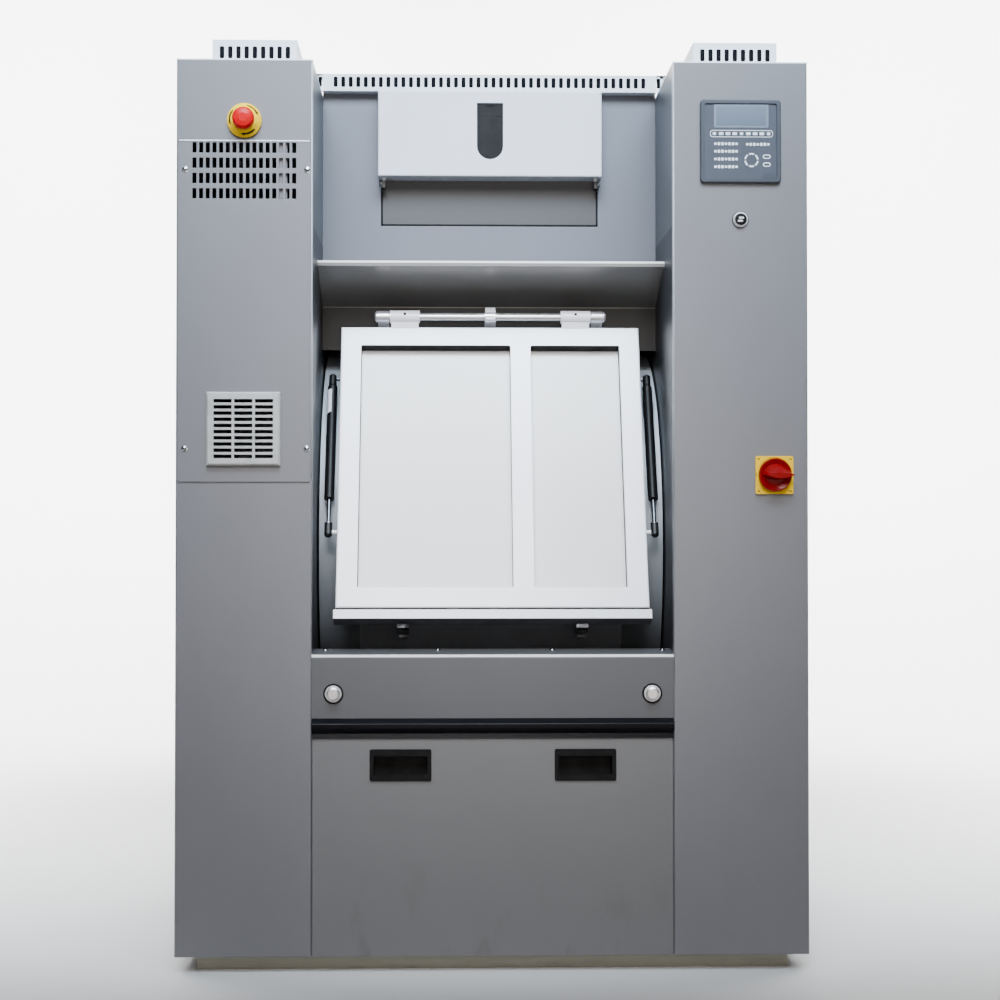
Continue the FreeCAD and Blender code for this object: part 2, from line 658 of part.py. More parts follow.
keep("bridge_front_panel", bridge_panel())
BRIDGE_BACK = -BRIDGE_FRONT
keep("bridge_back_panel", box(-GAP, GAP, BRIDGE_BACK - SHEET, BRIDGE_BACK, BRIDGE_BOTTOM, BRIDGE_TOP - SHEET))
keep("bridge_roof", bridge_roof())
keep("front_hood", hood())
keep("back_hood", mirror_y(hood()))


# Soap dispenser: a box let into the bridge, with a flap that tips forward on two pins
def dispenser_box():
    half = DISPENSER_WIDTH / 2
    inside = half - SHEET
    y1 = BRIDGE_FRONT + DISPENSER_DEPTH
    body = box(-half, half, BRIDGE_FRONT, y1, DISPENSER_BOTTOM, DISPENSER_TOP)
    y0 = BRIDGE_FRONT - OVER
    body = body.cut(box(-inside, inside, y0, y1 - SHEET, DISPENSER_SPLIT, DISPENSER_TOP - SHEET))
    low, high = FLAP_PIVOT_Z - FLAP_EAR_RADIUS, FLAP_PIVOT_Z + FLAP_EAR_RADIUS
    ear = box(inside, half, FLAP_PIVOT_Y, BRIDGE_FRONT, low, high)
    ear = ear.fuse(rod_x(inside, half, FLAP_PIVOT_Y, FLAP_PIVOT_Z, FLAP_EAR_RADIUS))
    bore = FLAP_PIN_RADIUS + RUNNING_FIT
    ear = ear.cut(rod_x(inside - OVER, half + OVER, FLAP_PIVOT_Y, FLAP_PIVOT_Z, bore))
    return body.fuse([ear, mirror_x(ear)])


def dispenser_flap():
    """Shallow tray with folded sides; its pins stand out of two lugs below the tray."""
    half = DISPENSER_WIDTH / 2 + FLAP_OVERLAP
    inside = half - SHEET
    back = BRIDGE_FRONT - SEAM
    face = back - FLAP_STANDOFF
    bottom = DISPENSER_SPLIT
    top = DISPENSER_TOP + FLAP_OVERLAP
    tray = box(-half, half, face, back, bottom, top)
    tray = round_edges(tray, BEND, lambda e: at(e, y=face))
    tray = tray.cut(box(-inside, inside, face + SHEET, back + OVER, bottom + SHEET, top - SHEET))
    lug_out = DISPENSER_WIDTH / 2 - SHEET - CLEAR
    lug_in = lug_out - FLAP_LUG_THICK
    y0, y1 = FLAP_PIVOT_Y - FLAP_LUG, FLAP_PIVOT_Y + FLAP_LUG
    lug = box(lug_in, lug_out, y0, y1, FLAP_PIVOT_Z - FLAP_LUG, bottom)
    pin = rod_x(lug_in, DISPENSER_WIDTH / 2 + SHEET, FLAP_PIVOT_Y, FLAP_PIVOT_Z, FLAP_PIN_RADIUS)
    pivot = lug.fuse(pin)
    tray = tray.fuse([pivot, mirror_x(pivot)])
    return tray.cut(pull_outline(PULL_WIDTH / 2, face - OVER, face + SHEET + OVER))


def pull_outline(half, y0, y1):
    """Plate with a square top and a round foot, the shape of the pull and of its hole."""
    middle = PULL_BOTTOM + PULL_WIDTH / 2
    top = PULL_TOP - PULL_WIDTH / 2 + half
    plate = box(-half, half, y0, y1, middle, top)
    return plate.fuse(rod_y(0, middle, y0, y1, half)).removeSplitter()


def flap_pull():
    """Moulded paddle that lies flush in the flap, with a shadow gap round it, held by a flange behind."""
    face = BRIDGE_FRONT - SEAM - FLAP_STANDOFF
    half = PULL_WIDTH / 2 - PULL_GAP
    seat = face + SHEET + CLEAR
    paddle = pull_outline(half, face + SEAM, seat)
    slot_level = PULL_TOP - 2 * PULL_GAP - PULL_MARK
    cuts = [box(-PULL_SLOT / 2, PULL_SLOT / 2, face, seat - SEAM, slot_level, slot_level + PULL_MARK)]
    mark_level = PULL_TOP - PULL_MARK_DROP
    for side in (-1, 1):
        x0, x1 = sorted((side * PULL_SLOT / 2, side * (half + OVER)))
        cuts.append(box(x0, x1, face, face + SHEET / 2, mark_level - PULL_MARK, mark_level))
    flange = pull_outline(PULL_WIDTH / 2 + PULL_FLANGE, seat, seat + SHEET)
    return paddle.fuse(flange).cut(cuts)


FLAP_PIVOT_Y = BRIDGE_FRONT - FLAP_STANDOFF / 2
FLAP_PIVOT_Z = DISPENSER_SPLIT - FLAP_EAR_RADIUS - SHEET
keep("dispenser_box", dispenser_box())
keep("dispenser_flap", dispenser_flap())
keep("dispenser_pull", flap_pull())


# Lower front: sill with its ledge and two push buttons, bumper, and a lift-off panel with two cup handles
def sill():
    back = FRONT + SILL_LEDGE
    crest = SILL_TOP + SILL_RISE
    profile = [(FRONT, SILL_BOTTOM), (FRONT, SILL_TOP), (back, crest), (back, SILL_TOP - FOLD),
               (back - SHEET, SILL_TOP - FOLD), (back - SHEET, crest - SHEET),
               (FRONT + SHEET, SILL_TOP - SHEET), (FRONT + SHEET, SILL_BOTTOM)]
    panel = section_x(profile, -GAP, GAP)
    y0, y1 = FRONT - OVER, FRONT + SHEET + OVER
    for x in (-BUTTON_X, BUTTON_X):
        panel = panel.cut(rod_y(x, BUTTON_LEVEL, y0, y1, BUTTON_STEM_RADIUS + CLEAR))
    return panel


def push_button(side):
    """Domed cap on a stem that slides in the sill."""
    face = BUTTON_TRAVEL + SHEET
    dome = face + BUTTON_DOME
    return turned([(-CONTROL_DEPTH, 0), (-CONTROL_DEPTH, BUTTON_STEM_RADIUS), (SEAM, BUTTON_STEM_RADIUS),
                   (SEAM, BUTTON_RADIUS), (face, BUTTON_RADIUS), (dome, BUTTON_RADIUS * 0.7), (dome, 0)],
                  (side * BUTTON_X, FRONT - BUTTON_TRAVEL, BUTTON_LEVEL), (0, -1, 0))


def bumper():
    top = SILL_BOTTOM - SEAM
    bottom = LOWER_TOP + SEAM
    nose = FRONT - BUMPER_DEPTH
    back = FRONT + FOLD
    step = (top - bottom) / 4
    profile = [(back, top), (FRONT, top), (nose, top - step), (nose, bottom + 2 * step),
               (FRONT, bottom + step), (FRONT - SHEET, bottom), (back, bottom)]
    rail = section_x(profile, -GAP + SEAM, GAP - SEAM)
    return round_edges(rail, BEND, lambda e: along(e, "x") and at(e, y=nose))


def cup_block(x, inset, y0, y1):
    """Block on a cup handle's centre, as large as its rim less an inset."""
    half, tall = CUP_WIDTH / 2 - inset, CUP_HEIGHT / 2 - inset
    return box(x - half, x + half, y0, y1, CUP_LEVEL - tall, CUP_LEVEL + tall)


def lower_panel():
    panel = folded_front(-GAP + SEAM, GAP - SEAM, BASE_HEIGHT, LOWER_TOP)
    y0, y1 = FRONT - OVER, FRONT + SHEET + OVER
    return panel.cut([cup_block(x, CUP_RIM, y0, y1) for x in (-CUP_SPAN / 2, CUP_SPAN / 2)])


def cup_handle(x):
    """Moulded cup pull: a rim on the panel and a well that runs up behind a grip lip."""
    rim = round_edges(cup_block(x, 0, FRONT - SHEET, FRONT), BEND, lambda e: along(e, "y"))
    inset = CUP_RIM + CLEAR
    shell = cup_block(x, inset, FRONT, FRONT + CUP_DEPTH)
    inner = inset + CUP_WALL
    half = CUP_WIDTH / 2 - inner
    floor, roof = CUP_LEVEL - CUP_HEIGHT / 2 + inner, CUP_LEVEL + CUP_HEIGHT / 2 - inner
    front, back = FRONT - SHEET - OVER, FRONT + CUP_DEPTH - CUP_WALL
    well = section_x([(front, floor + CUP_LIP), (FRONT + CUP_LIP, floor), (back, floor), (back, roof),
                      (FRONT + CUP_LIP, roof), (FRONT + CUP_LIP, roof - CUP_LIP), (front, roof - CUP_LIP)],
                     x - half, x + half)
    return rim.fuse(shell).cut(well)


keep("sill_panel", sill())
keep("left_push_button", push_button(-1))
keep("right_push_button", push_button(1))
keep("bumper_rail", bumper())
keep("lower_front_panel", lower_panel())
NODES["cup_handles"] = Part.Compound([cup_handle(-CUP_SPAN / 2), cup_handle(CUP_SPAN / 2)])
keep("back_lower_panel", mirror_y(folded_front(-GAP + SEAM, GAP - SEAM, BASE_HEIGHT, SILL_TOP)))


# Tub: two pressed end caps, two rolled shells between them, and a collar round each loading opening
def lean(shape):
    """Tip a piece from the upright door frame back to its place on the drum's axis."""
    placed = shape.copy()
    placed.rotate(V(0, 0, 0), V(1, 0, 0), -LEAN)
    placed.translate(V(0, 0, AXIS_LEVEL))
    return placed


def drum_axis_tube(x0, x1, outer, inner):
    tube = rod_x(x0, x1, 0, 0, outer)
    return tube.cut(rod_x(x0 - OVER, x1 + OVER, 0, 0, inner)) if inner else tube


def tub_cap():
    cap = drum_axis_tube(-TUB_END, -TUB_END + TUB_RIM, TUB_RADIUS, TUB_RADIUS - TUB_WALL)
    cap = cap.fuse(drum_axis_tube(-TUB_END, -TUB_END + TUB_WALL, TUB_RADIUS, SHAFT_RADIUS + TUB_SHAFT_GAP))
    outer = TUB_RADIUS - TUB_BEAD_INSET
    inner = outer - TUB_BEAD_WIDTH
    bead = turned([(-SHEET, outer - SHEET), (-SHEET, inner + SHEET), (0, inner), (0, outer)],
                  (-TUB_END, 0, 0), (1, 0, 0))
    cap = cap.fuse(bead)
    cap.translate(V(0, 0, AXIS_LEVEL))
    return cap


def tub_shells():
    """The barrel between the caps, parted by the front and back openings; lower shell first."""
    reach = TUB_END - TUB_RIM
    barrel = drum_axis_tube(-reach, reach, TUB_RADIUS, TUB_RADIUS - TUB_WALL)
    barrel.translate(V(0, 0, AXIS_LEVEL))
    window = lean(box(-reach - OVER, reach + OVER, -TUB_RADIUS - OVER, 0, -NECK_HEIGHT / 2, NECK_HEIGHT / 2))
    parted = barrel.cut(window).cut(mirror_y(window))
    return sorted(parted.Solids, key=lambda s: s.CenterOfMass.z)


def drain_stub():
    """Waste outlet under the tub: a pipe on a flange that follows the tub's curve."""
    top = AXIS_LEVEL - TUB_RADIUS + TUB_WALL
    seat = AXIS_LEVEL - TUB_RADIUS - DRAIN_FLANGE_DROP
    bottom = seat - DRAIN_LENGTH
    flange = rod((0, 0, seat), (0, 0, top), DRAIN_FLANGE_RADIUS)
    flange = flange.cut(rod_x(-TUB_END, TUB_END, 0, AXIS_LEVEL, TUB_RADIUS - TUB_WALL))
    pipe = flange.fuse(rod((0, 0, bottom), (0, 0, top), DRAIN_RADIUS))
    return pipe.cut(rod((0, 0, bottom - OVER), (0, 0, top + OVER), DRAIN_RADIUS - TUB_WALL))


def rectangle_tube(width, height, wall, y0, y1):
    half, tall = width / 2, height / 2
    inside, low = half - wall, tall - wall
    return box(-half, half, y0, y1, -tall, tall).cut(box(-inside, inside, y0 - OVER, y1 + OVER, -low, low))


def door_collar(fittings):
    """Saddle neck that rises from the round tub to a flat face with a turned-back skirt; the loading
    side also carries latch ears and strut studs."""
    width = NECK_WIDTH + 2 * COLLAR_BORDER
    height = NECK_HEIGHT + 2 * COLLAR_BORDER
    neck = rectangle_tube(NECK_WIDTH + 2 * TUB_WALL, NECK_HEIGHT + 2 * TUB_WALL, TUB_WALL, -COLLAR_FACE, 0)
    face = rectangle_tube(width, height, COLLAR_BORDER, -COLLAR_FACE, -COLLAR_FACE + TUB_WALL)
    skirt = rectangle_tube(width, height, TUB_WALL, -COLLAR_FACE, -COLLAR_FACE + COLLAR_SKIRT)
    collar = neck.fuse([face, skirt])
    collar = collar.cut(rod_x(-TUB_END, TUB_END, 0, 0, TUB_RADIUS))
    if not fittings:
        return lean(collar)
    return lean(collar.fuse(latch_ears(height) + strut_studs(width / 2, STRUT_TOP_OUT, STRUT_TOP_UP)))


def latch_ears(height):
    """Two ears for each latch, standing down from the collar's lower edge."""
    tip = LATCH_UP - LATCH_EAR_TIP
    shoulder = LATCH_UP - LATCH_PIN_RADIUS
    face = -COLLAR_FACE + TUB_WALL
    profile = [(face, -height / 2), (face, shoulder), (-LATCH_OUT, tip),
               (-LATCH_OUT + LATCH_EAR_TIP, shoulder), (-COLLAR_FACE + COLLAR_SKIRT, -height / 2)]
    ears = []
    for x in (-LATCH_SPAN / 2, LATCH_SPAN / 2):
        for edge in (-1, 1):
            near = x + edge * (LATCH_WIDTH / 2 + CLEAR)
            far = near + edge * LATCH_EAR
            hole = rod_x(near - edge, far + edge, -LATCH_OUT, LATCH_UP, LATCH_PIN_RADIUS + RUNNING_FIT)
            ears.append(section_x(profile, near, far).cut(hole))
    return ears


def strut_studs(root, out, up):
    """A stud on each side that a strut's end sits on."""
    tip = STRUT_X - STRUT_END_RADIUS - CLEAR
    return [rod_x(side * (root - OVER), side * tip, -out, up, STRUT_STUD_RADIUS) for side in (-1, 1)]


def collar_seal():
    """Rubber frame between the collar's face and the door."""
    width = NECK_WIDTH + 2 * (SEAL_WIDTH + SEAL_INSET)
    height = NECK_HEIGHT + 2 * (SEAL_WIDTH + SEAL_INSET)
    seal = rectangle_tube(width, height, SEAL_WIDTH, -DOOR_BACK + LINER_THICK + CLEAR, -COLLAR_FACE)
    return lean(seal)


STRUT_X = DOOR_WIDTH / 2 + STRUT_OFFSET
keep("tub_left_cap", tub_cap())
keep("tub_right_cap", mirror_x(tub_cap()))
lower_shell, upper_shell = tub_shells()
keep("tub_lower_shell", lower_shell.fuse(drain_stub()))
keep("tub_upper_shell", upper_shell)
keep("front_collar", door_collar(True))
keep("back_collar", mirror_y(door_collar(False)))
keep("front_door_seal", collar_seal())


# Drum: a rolled shell with a two-leaf hatch, two end plates with shafts, and its pulley
DRUM_REACH = TUB_END - TUB_WALL - DRUM_END_GAP - DRUM_END_THICK
HATCH_EDGE = HATCH_HEIGHT / 2
HATCH_UP = HATCH_EDGE - HATCH_HINGE_INSET
HATCH_OUT = math.sqrt(DRUM_RADIUS ** 2 - HATCH_UP ** 2) - HATCH_HINGE_DEPTH
HATCH_HALF = HATCH_WIDTH / 2


def drum_shell():
    shell = drum_axis_tube(-DRUM_REACH, DRUM_REACH, DRUM_RADIUS, DRUM_RADIUS - DRUM_WALL)
    shell = shell.cut(box(-HATCH_HALF, HATCH_HALF, -DRUM_RADIUS - OVER, 0, -HATCH_EDGE, HATCH_EDGE))
    lugs = []
    inside = rod_x(-DRUM_REACH, DRUM_REACH, 0, 0, DRUM_RADIUS - DRUM_WALL / 2)
    for side in (-1, 1):
        near, far = sorted((side * (HATCH_HALF + CLEAR), side * (HATCH_HALF + CLEAR + HATCH_LUG)))
        for level in (-HATCH_UP, HATCH_UP):
            lug = box(near, far, -DRUM_RADIUS, -HATCH_OUT + HATCH_BARREL_RADIUS, level - HATCH_LUG / 2,
                      level + HATCH_LUG / 2)
            hole = rod_x(near - OVER, far + OVER, -HATCH_OUT, level, HATCH_PIN_RADIUS + RUNNING_FIT)
            lugs.append(lug.common(inside).cut(hole))
    return lean(shell.fuse(lugs))


def hatch_leaf():
    """Upper leaf of the hatch: a slice of the drum's own curve with a hinge barrel near its outer edge."""
    half = HATCH_HALF - HATCH_GAP
    slab = box(-half, half, -DRUM_RADIUS - OVER, 0, HATCH_GAP / 2, HATCH_UP + HATCH_BARREL_RADIUS)
    leaf = drum_axis_tube(-half, half, DRUM_RADIUS, DRUM_RADIUS - DRUM_WALL).common(slab)
    barrel = rod_x(-half, half, -HATCH_OUT, HATCH_UP, HATCH_BARREL_RADIUS)
    root = -HATCH_OUT - HATCH_HINGE_DEPTH + DRUM_WALL
    web = box(-half, half, root, -HATCH_OUT, HATCH_UP - HATCH_BARREL_RADIUS, HATCH_UP)
    web = web.common(rod_x(-half, half, 0, 0, DRUM_RADIUS - DRUM_WALL / 2))
    reach = HATCH_HALF + CLEAR + HATCH_LUG
    pin = rod_x(-reach, reach, -HATCH_OUT, HATCH_UP, HATCH_PIN_RADIUS)
    return leaf.fuse([web, barrel, pin])


def drum_end(shaft_end):
    """Left end plate with a stiffening cone and a shaft that runs out to shaft_end."""
    outer = -DRUM_REACH - DRUM_END_THICK
    plate = drum_axis_tube(outer, -DRUM_REACH, DRUM_RADIUS - SEAM, 0)
    cone = turned([(0, 0), (0, HOUSING_RADIUS * 2), (CONE_DEPTH, HOUSING_RADIUS), (CONE_DEPTH, 0)],
                  (-DRUM_REACH, 0, 0), (1, 0, 0))
    shaft = rod_x(shaft_end, outer, 0, 0, SHAFT_RADIUS)
    end = plate.fuse([cone, shaft])
    end.translate(V(0, 0, AXIS_LEVEL))
    return end


def bearing_housing():
    """Flanged housing on the outer face of the column's inner wall, reaching in to the tub's cap."""
    outer = GAP + SHEET
    body = turned([(TUB_END, SHAFT_RADIUS + RUNNING_FIT), (TUB_END, HOUSING_RADIUS), (outer, HOUSING_RADIUS),
                   (outer, HOUSING_FLANGE_RADIUS), (outer + FLANGE_THICK, HOUSING_FLANGE_RADIUS),
                   (outer + FLANGE_THICK, HOUSING_RADIUS), (TUB_END + HOUSING_LENGTH, HOUSING_RADIUS * 0.75),
                   (TUB_END + HOUSING_LENGTH, SHAFT_RADIUS + RUNNING_FIT)], (0, 0, AXIS_LEVEL), (-1, 0, 0))
    return body


def grooved_pulley(radius, bore, centre_z, near):
    """Belt pulley with two V grooves, hub against the shaft, at its place along X."""
    groove = PULLEY_WIDTH / 4
    deep = radius - groove * 0.8
    profile = [(0, bore), (0, radius), (groove * 0.5, radius), (groove, deep), (groove * 1.5, radius),
               (groove * 2.5, radius), (groove * 3, deep), (groove * 3.5, radius), (PULLEY_WIDTH, radius),
               (PULLEY_WIDTH, bore)]
    return turned(profile, (near, 0, centre_z), (-1, 0, 0))


PULLEY_NEAR = -TUB_END - HOUSING_LENGTH - PULLEY_GAP
PULLEY_FAR = PULLEY_NEAR - PULLEY_WIDTH
keep("drum_shell", drum_shell())
keep("hatch_upper_leaf", lean(hatch_leaf()))
keep("hatch_lower_leaf", lean(hatch_leaf().mirror(V(0, 0, 0), V(0, 0, 1))))
keep("drum_left_end", drum_end(PULLEY_FAR - FLANGE_THICK / 2))
keep("drum_right_end", mirror_x(drum_end(-TUB_END - HOUSING_LENGTH + FLANGE_THICK / 2)))
NODES["bearing_housings"] = Part.Compound([bearing_housing(), mirror_x(bearing_housing())])
pulley = grooved_pulley(PULLEY_RADIUS, SHAFT_RADIUS + RUNNING_FIT, AXIS_LEVEL, PULLEY_NEAR)
hole_at = (PULLEY_RADIUS + SHAFT_RADIUS) / 2
for step in range(PULLEY_HOLES):
    turn = math.radians(360 * step / PULLEY_HOLES)
    y, z = hole_at * math.cos(turn), AXIS_LEVEL + hole_at * math.sin(turn)
    pulley = pulley.cut(rod_x(PULLEY_NEAR + OVER, PULLEY_FAR - OVER, y, z, PULLEY_RADIUS / 5))
keep("drum_pulley", pulley)


# Drive: a flange motor under the tub, its pulley in the left column and a belt round both pulleys
def motor():
    bore = MOTOR_SHAFT_RADIUS + RUNNING_FIT
    end = MOTOR_LENGTH + MOTOR_DOME
    body = turned([(0, bore), (0, MOTOR_FLANGE_RADIUS), (FLANGE_THICK, MOTOR_FLANGE_RADIUS),
                   (FLANGE_THICK, MOTOR_RADIUS), (MOTOR_LENGTH, MOTOR_RADIUS), (end, MOTOR_RADIUS * 0.7),
                   (end, 0), (MOTOR_BORE, 0), (MOTOR_BORE, bore)], (-GAP, 0, MOTOR_LEVEL), (1, 0, 0))
    near, half = -GAP + MOTOR_BORE, TERMINAL_BOX / 2
    top = MOTOR_LEVEL + MOTOR_RADIUS + TERMINAL_RISE
    return body.fuse(box(near, near + TERMINAL_BOX, -half, half, MOTOR_LEVEL, top))


def belt_loop(grow, x0, x1):
    """Hull round both pulleys, grown by a distance."""
    big, small = PULLEY_RADIUS + grow, MOTOR_PULLEY_RADIUS + grow
    span = AXIS_LEVEL - MOTOR_LEVEL
    tilt = math.asin((big - small) / span)
    touch = [(big * math.cos(tilt), AXIS_LEVEL - big * math.sin(tilt)),
             (small * math.cos(tilt), MOTOR_LEVEL - small * math.sin(tilt))]
    web = section_x(touch + [(-y, z) for y, z in reversed(touch)], x0, x1)
    wheels = [rod_x(x0, x1, 0, z, r) for z, r in ((AXIS_LEVEL, big), (MOTOR_LEVEL, small))]
    return web.fuse(wheels).removeSplitter()


keep("drive_motor", motor())
motor_pulley = grooved_pulley(MOTOR_PULLEY_RADIUS, 0, MOTOR_LEVEL, PULLEY_NEAR)
motor_shaft = rod_x(PULLEY_NEAR, -GAP + MOTOR_BORE - SHEET, 0, MOTOR_LEVEL, MOTOR_SHAFT_RADIUS)
keep("motor_pulley", motor_pulley.fuse(motor_shaft))
belt = belt_loop(CLEAR + BELT_THICK, PULLEY_FAR + BELT_EDGE, PULLEY_NEAR - BELT_EDGE)
keep("drive_belt", belt.cut(belt_loop(CLEAR, PULLEY_FAR, PULLEY_NEAR)))


# Loading door: pressed shell with two sunk panels and hinge knuckles, inner liner and a channel pull
DOOR_HALF = DOOR_WIDTH / 2


def door_shell(studs):
    shell = box(-DOOR_HALF, DOOR_HALF, -DOOR_FACE, -DOOR_BACK, DOOR_BOTTOM, DOOR_TOP)
    shell = round_edges(shell, BEND, lambda e: at(e, y=-DOOR_FACE))
    edge = DOOR_HALF - DOOR_STILE
    front, floor = -DOOR_FACE - OVER, -DOOR_FACE + POCKET_DEPTH
    for x0, x1 in ((-edge, MULLION_AT), (MULLION_AT + DOOR_STILE, edge)):
        pocket = box(x0, x1, front, floor, DOOR_BOTTOM + DOOR_RAIL, DOOR_TOP - DOOR_RAIL)
        shell = shell.cut(round_edges(pocket, BEND, lambda e: along(e, "y")))
    knuckles = [door_knuckle(-KNUCKLE_NEAR - KNUCKLE_LENGTH), door_knuckle(KNUCKLE_NEAR)]
    shell = shell.fuse(knuckles)
    return shell.fuse(strut_studs(DOOR_HALF, STRUT_LOW_OUT, STRUT_LOW_UP)) if studs else shell


def door_knuckle(near):
    """Bored knuckle on the hinge's axis, with a web down to the door's upper edge."""
    far = near + KNUCKLE_LENGTH
    root = DOOR_TOP - BEND
    web_reach = KNUCKLE_RADIUS - SHEET
    web = section_x([(-HINGE_OUT - web_reach, HINGE_UP), (-DOOR_FACE, root), (-DOOR_FACE + KNUCKLE_LUG, root),
                     (-HINGE_OUT + web_reach, HINGE_UP)], near + SHEET, far - SHEET)
    knuckle = rod_x(near, far, -HINGE_OUT, HINGE_UP, KNUCKLE_RADIUS).fuse(web)
    return knuckle.cut(rod_x(near - OVER, far + OVER, -HINGE_OUT, HINGE_UP, HINGE_ROD_RADIUS + RUNNING_FIT))


def door_liner():
    return box(-DOOR_HALF + BEND, DOOR_HALF - BEND, -DOOR_BACK, -DOOR_BACK + LINER_THICK, DOOR_BOTTOM + BEND,
               DOOR_TOP - BEND)


def door_pull():
    """Channel under the door's edge; fingers reach in from above its lower front lip."""
    reach = DOOR_HALF + DOOR_PULL_OVERHANG
    floor = DOOR_BOTTOM - DOOR_PULL_DROP
    lip = -DOOR_FACE - DOOR_PULL_LIP
    lip_top = DOOR_BOTTOM - DOOR_PULL_LIP
    wall = DOOR_PULL_WALL
    back = -DOOR_BACK - wall
    profile = [(lip, floor), (lip, lip_top), (lip + wall, lip_top), (lip + wall, floor + wall),
               (back, floor + wall), (back, DOOR_BOTTOM), (-DOOR_BACK, DOOR_BOTTOM), (-DOOR_BACK, floor)]
    return section_x(profile, -reach, reach)


def hinge_group():
    """Fixed hinge: a rod with end caps, carried by three arms that stand on the collar's skirt."""
    seat = NECK_HEIGHT / 2 + COLLAR_BORDER
    skirt_back = -COLLAR_FACE + COLLAR_SKIRT
    low, high = HINGE_UP - HINGE_CAP_RADIUS, HINGE_UP + HINGE_CAP_RADIUS
    shoulder = HINGE_UP - KNUCKLE_RADIUS
    profile = [(skirt_back, seat), (-COLLAR_FACE, seat), (-COLLAR_FACE - HINGE_ARM_NECK, shoulder),
               (-HINGE_OUT, low), (-HINGE_OUT, high), (-COLLAR_FACE, high), (skirt_back, shoulder)]
    arms = []
    for x in hinge_arm_places():
        far = x + HINGE_LUG_WIDTH
        arm = section_x(profile, x, far).fuse(rod_x(x, far, -HINGE_OUT, HINGE_UP, HINGE_CAP_RADIUS))
        bore = rod_x(x - OVER, far + OVER, -HINGE_OUT, HINGE_UP, HINGE_ROD_RADIUS + RUNNING_FIT)
        arms.append(arm.cut(bore))
    end = hinge_arm_places()[-1] + HINGE_LUG_WIDTH
    tip = end + HINGE_CAP_LENGTH
    cap = HINGE_CAP_RADIUS - SEAM
    seat = end + SEAM
    right = [(seat, HINGE_ROD_RADIUS), (seat, cap), (tip - BEND, cap), (tip, cap - BEND), (tip, 0)]
    left = [(-a, r) for a, r in reversed(right)]
    bar = turned(left + right, (0, -HINGE_OUT, HINGE_UP), (1, 0, 0))
    return Part.Compound([lean(arm) for arm in arms] + [lean(bar)])


keep("front_door_shell", lean(door_shell(True)))
keep("front_door_liner", lean(door_liner()))
keep("front_door_pull", lean(door_pull()))
NODES["front_hinge"] = hinge_group()
keep("back_door", mirror_y(lean(door_shell(False).fuse([door_liner(), door_pull()]))))
NODES["back_hinge"] = mirror_y(hinge_group())


# Gas struts: a tube hung from a stud on the collar, and a rod that runs out of it to a stud on the door
STRUT_TOP = V(0, -STRUT_TOP_OUT, STRUT_TOP_UP)
STRUT_LOW = V(0, -STRUT_LOW_OUT, STRUT_LOW_UP)
STRUT_LENGTH = (STRUT_LOW - STRUT_TOP).Length


def strut_part(profile, side):
    line = (STRUT_LOW - STRUT_TOP).normalize()
    start = V(side * STRUT_X, STRUT_TOP.y, STRUT_TOP.z)
    corners = [start + line * a + V(1, 0, 0) * r for a, r in profile]
    return lean(Part.Face(Part.makePolygon(corners + corners[:1])).revolve(start, line, 360))


def strut_tube(side):
    tip = -STRUT_END_LENGTH / 3
    end = STRUT_END_LENGTH + tip
    far = end + STRUT_TUBE_LENGTH
    bore = STRUT_ROD_RADIUS + RUNNING_FIT
    neck = STRUT_END_RADIUS * 0.6
    return strut_part([(tip, 0), (tip, neck), (tip + BEND, STRUT_END_RADIUS), (end - BEND, STRUT_END_RADIUS),
                       (end - BEND, neck), (end, neck), (end, STRUT_TUBE_RADIUS), (far, STRUT_TUBE_RADIUS),
                       (far, bore), (end + STRUT_CROWN, bore), (end + STRUT_CROWN, 0)], side)


def strut_rod(side):
    inner = STRUT_END_LENGTH * 2 / 3 + STRUT_CROWN + BEND
    tip = STRUT_LENGTH + STRUT_END_LENGTH / 3
    end = tip - STRUT_END_LENGTH
    thin, thick = STRUT_ROD_RADIUS, STRUT_END_RADIUS
    return strut_part([(inner, 0), (inner, thin), (end, thin), (end, thick), (tip - BEND, thick),
                       (tip, thick - BEND), (tip, 0)], side)


NODES["strut_tubes"] = Part.Compound([strut_tube(-1), strut_tube(1)])
NODES["strut_rods"] = Part.Compound([strut_rod(-1), strut_rod(1)])


# Door latches: two hooks that swing on pins in the collar's ears and reach under the door pull
def latch_hook(x):
    half = LATCH_WIDTH / 2
    under = DOOR_BOTTOM - DOOR_PULL_DROP - LATCH_PIN_RADIUS
    heel, arm = -LATCH_OUT + LATCH_ARM, -LATCH_OUT - LATCH_ARM
    toe = -DOOR_FACE + LATCH_TOE
    top = LATCH_UP + LATCH_ARM
    profile = [(heel, top), (arm, top), (arm - LATCH_EAR, under), (toe, under), (toe, under - LATCH_ARM),
               (arm, under - LATCH_ARM), (heel, under)]
    hook = section_x(profile, x - half, x + half)
    reach = half + CLEAR + LATCH_EAR + SHEET
    pin = rod_x(x - reach, x + reach, -LATCH_OUT, LATCH_UP, LATCH_PIN_RADIUS)
    inside = half - LATCH_PIN_RADIUS
    low = under - LATCH_ARM - LATCH_ROLLER_RADIUS / 2
    roller = rod_x(x - inside, x + inside, arm + LATCH_EAR, low, LATCH_ROLLER_RADIUS)
    return lean(hook.fuse([pin, roller]))


NODES["door_latches"] = Part.Compound([latch_hook(-LATCH_SPAN / 2), latch_hook(LATCH_SPAN / 2)])


# Write one file for each piece
os.makedirs("parts", exist_ok=True)
for name, shape in NODES.items():
    shape.exportStep(os.path.join("parts", name + ".step"))
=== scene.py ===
import json
import math

import bmesh
import bpy
from mathutils import Matrix, Vector


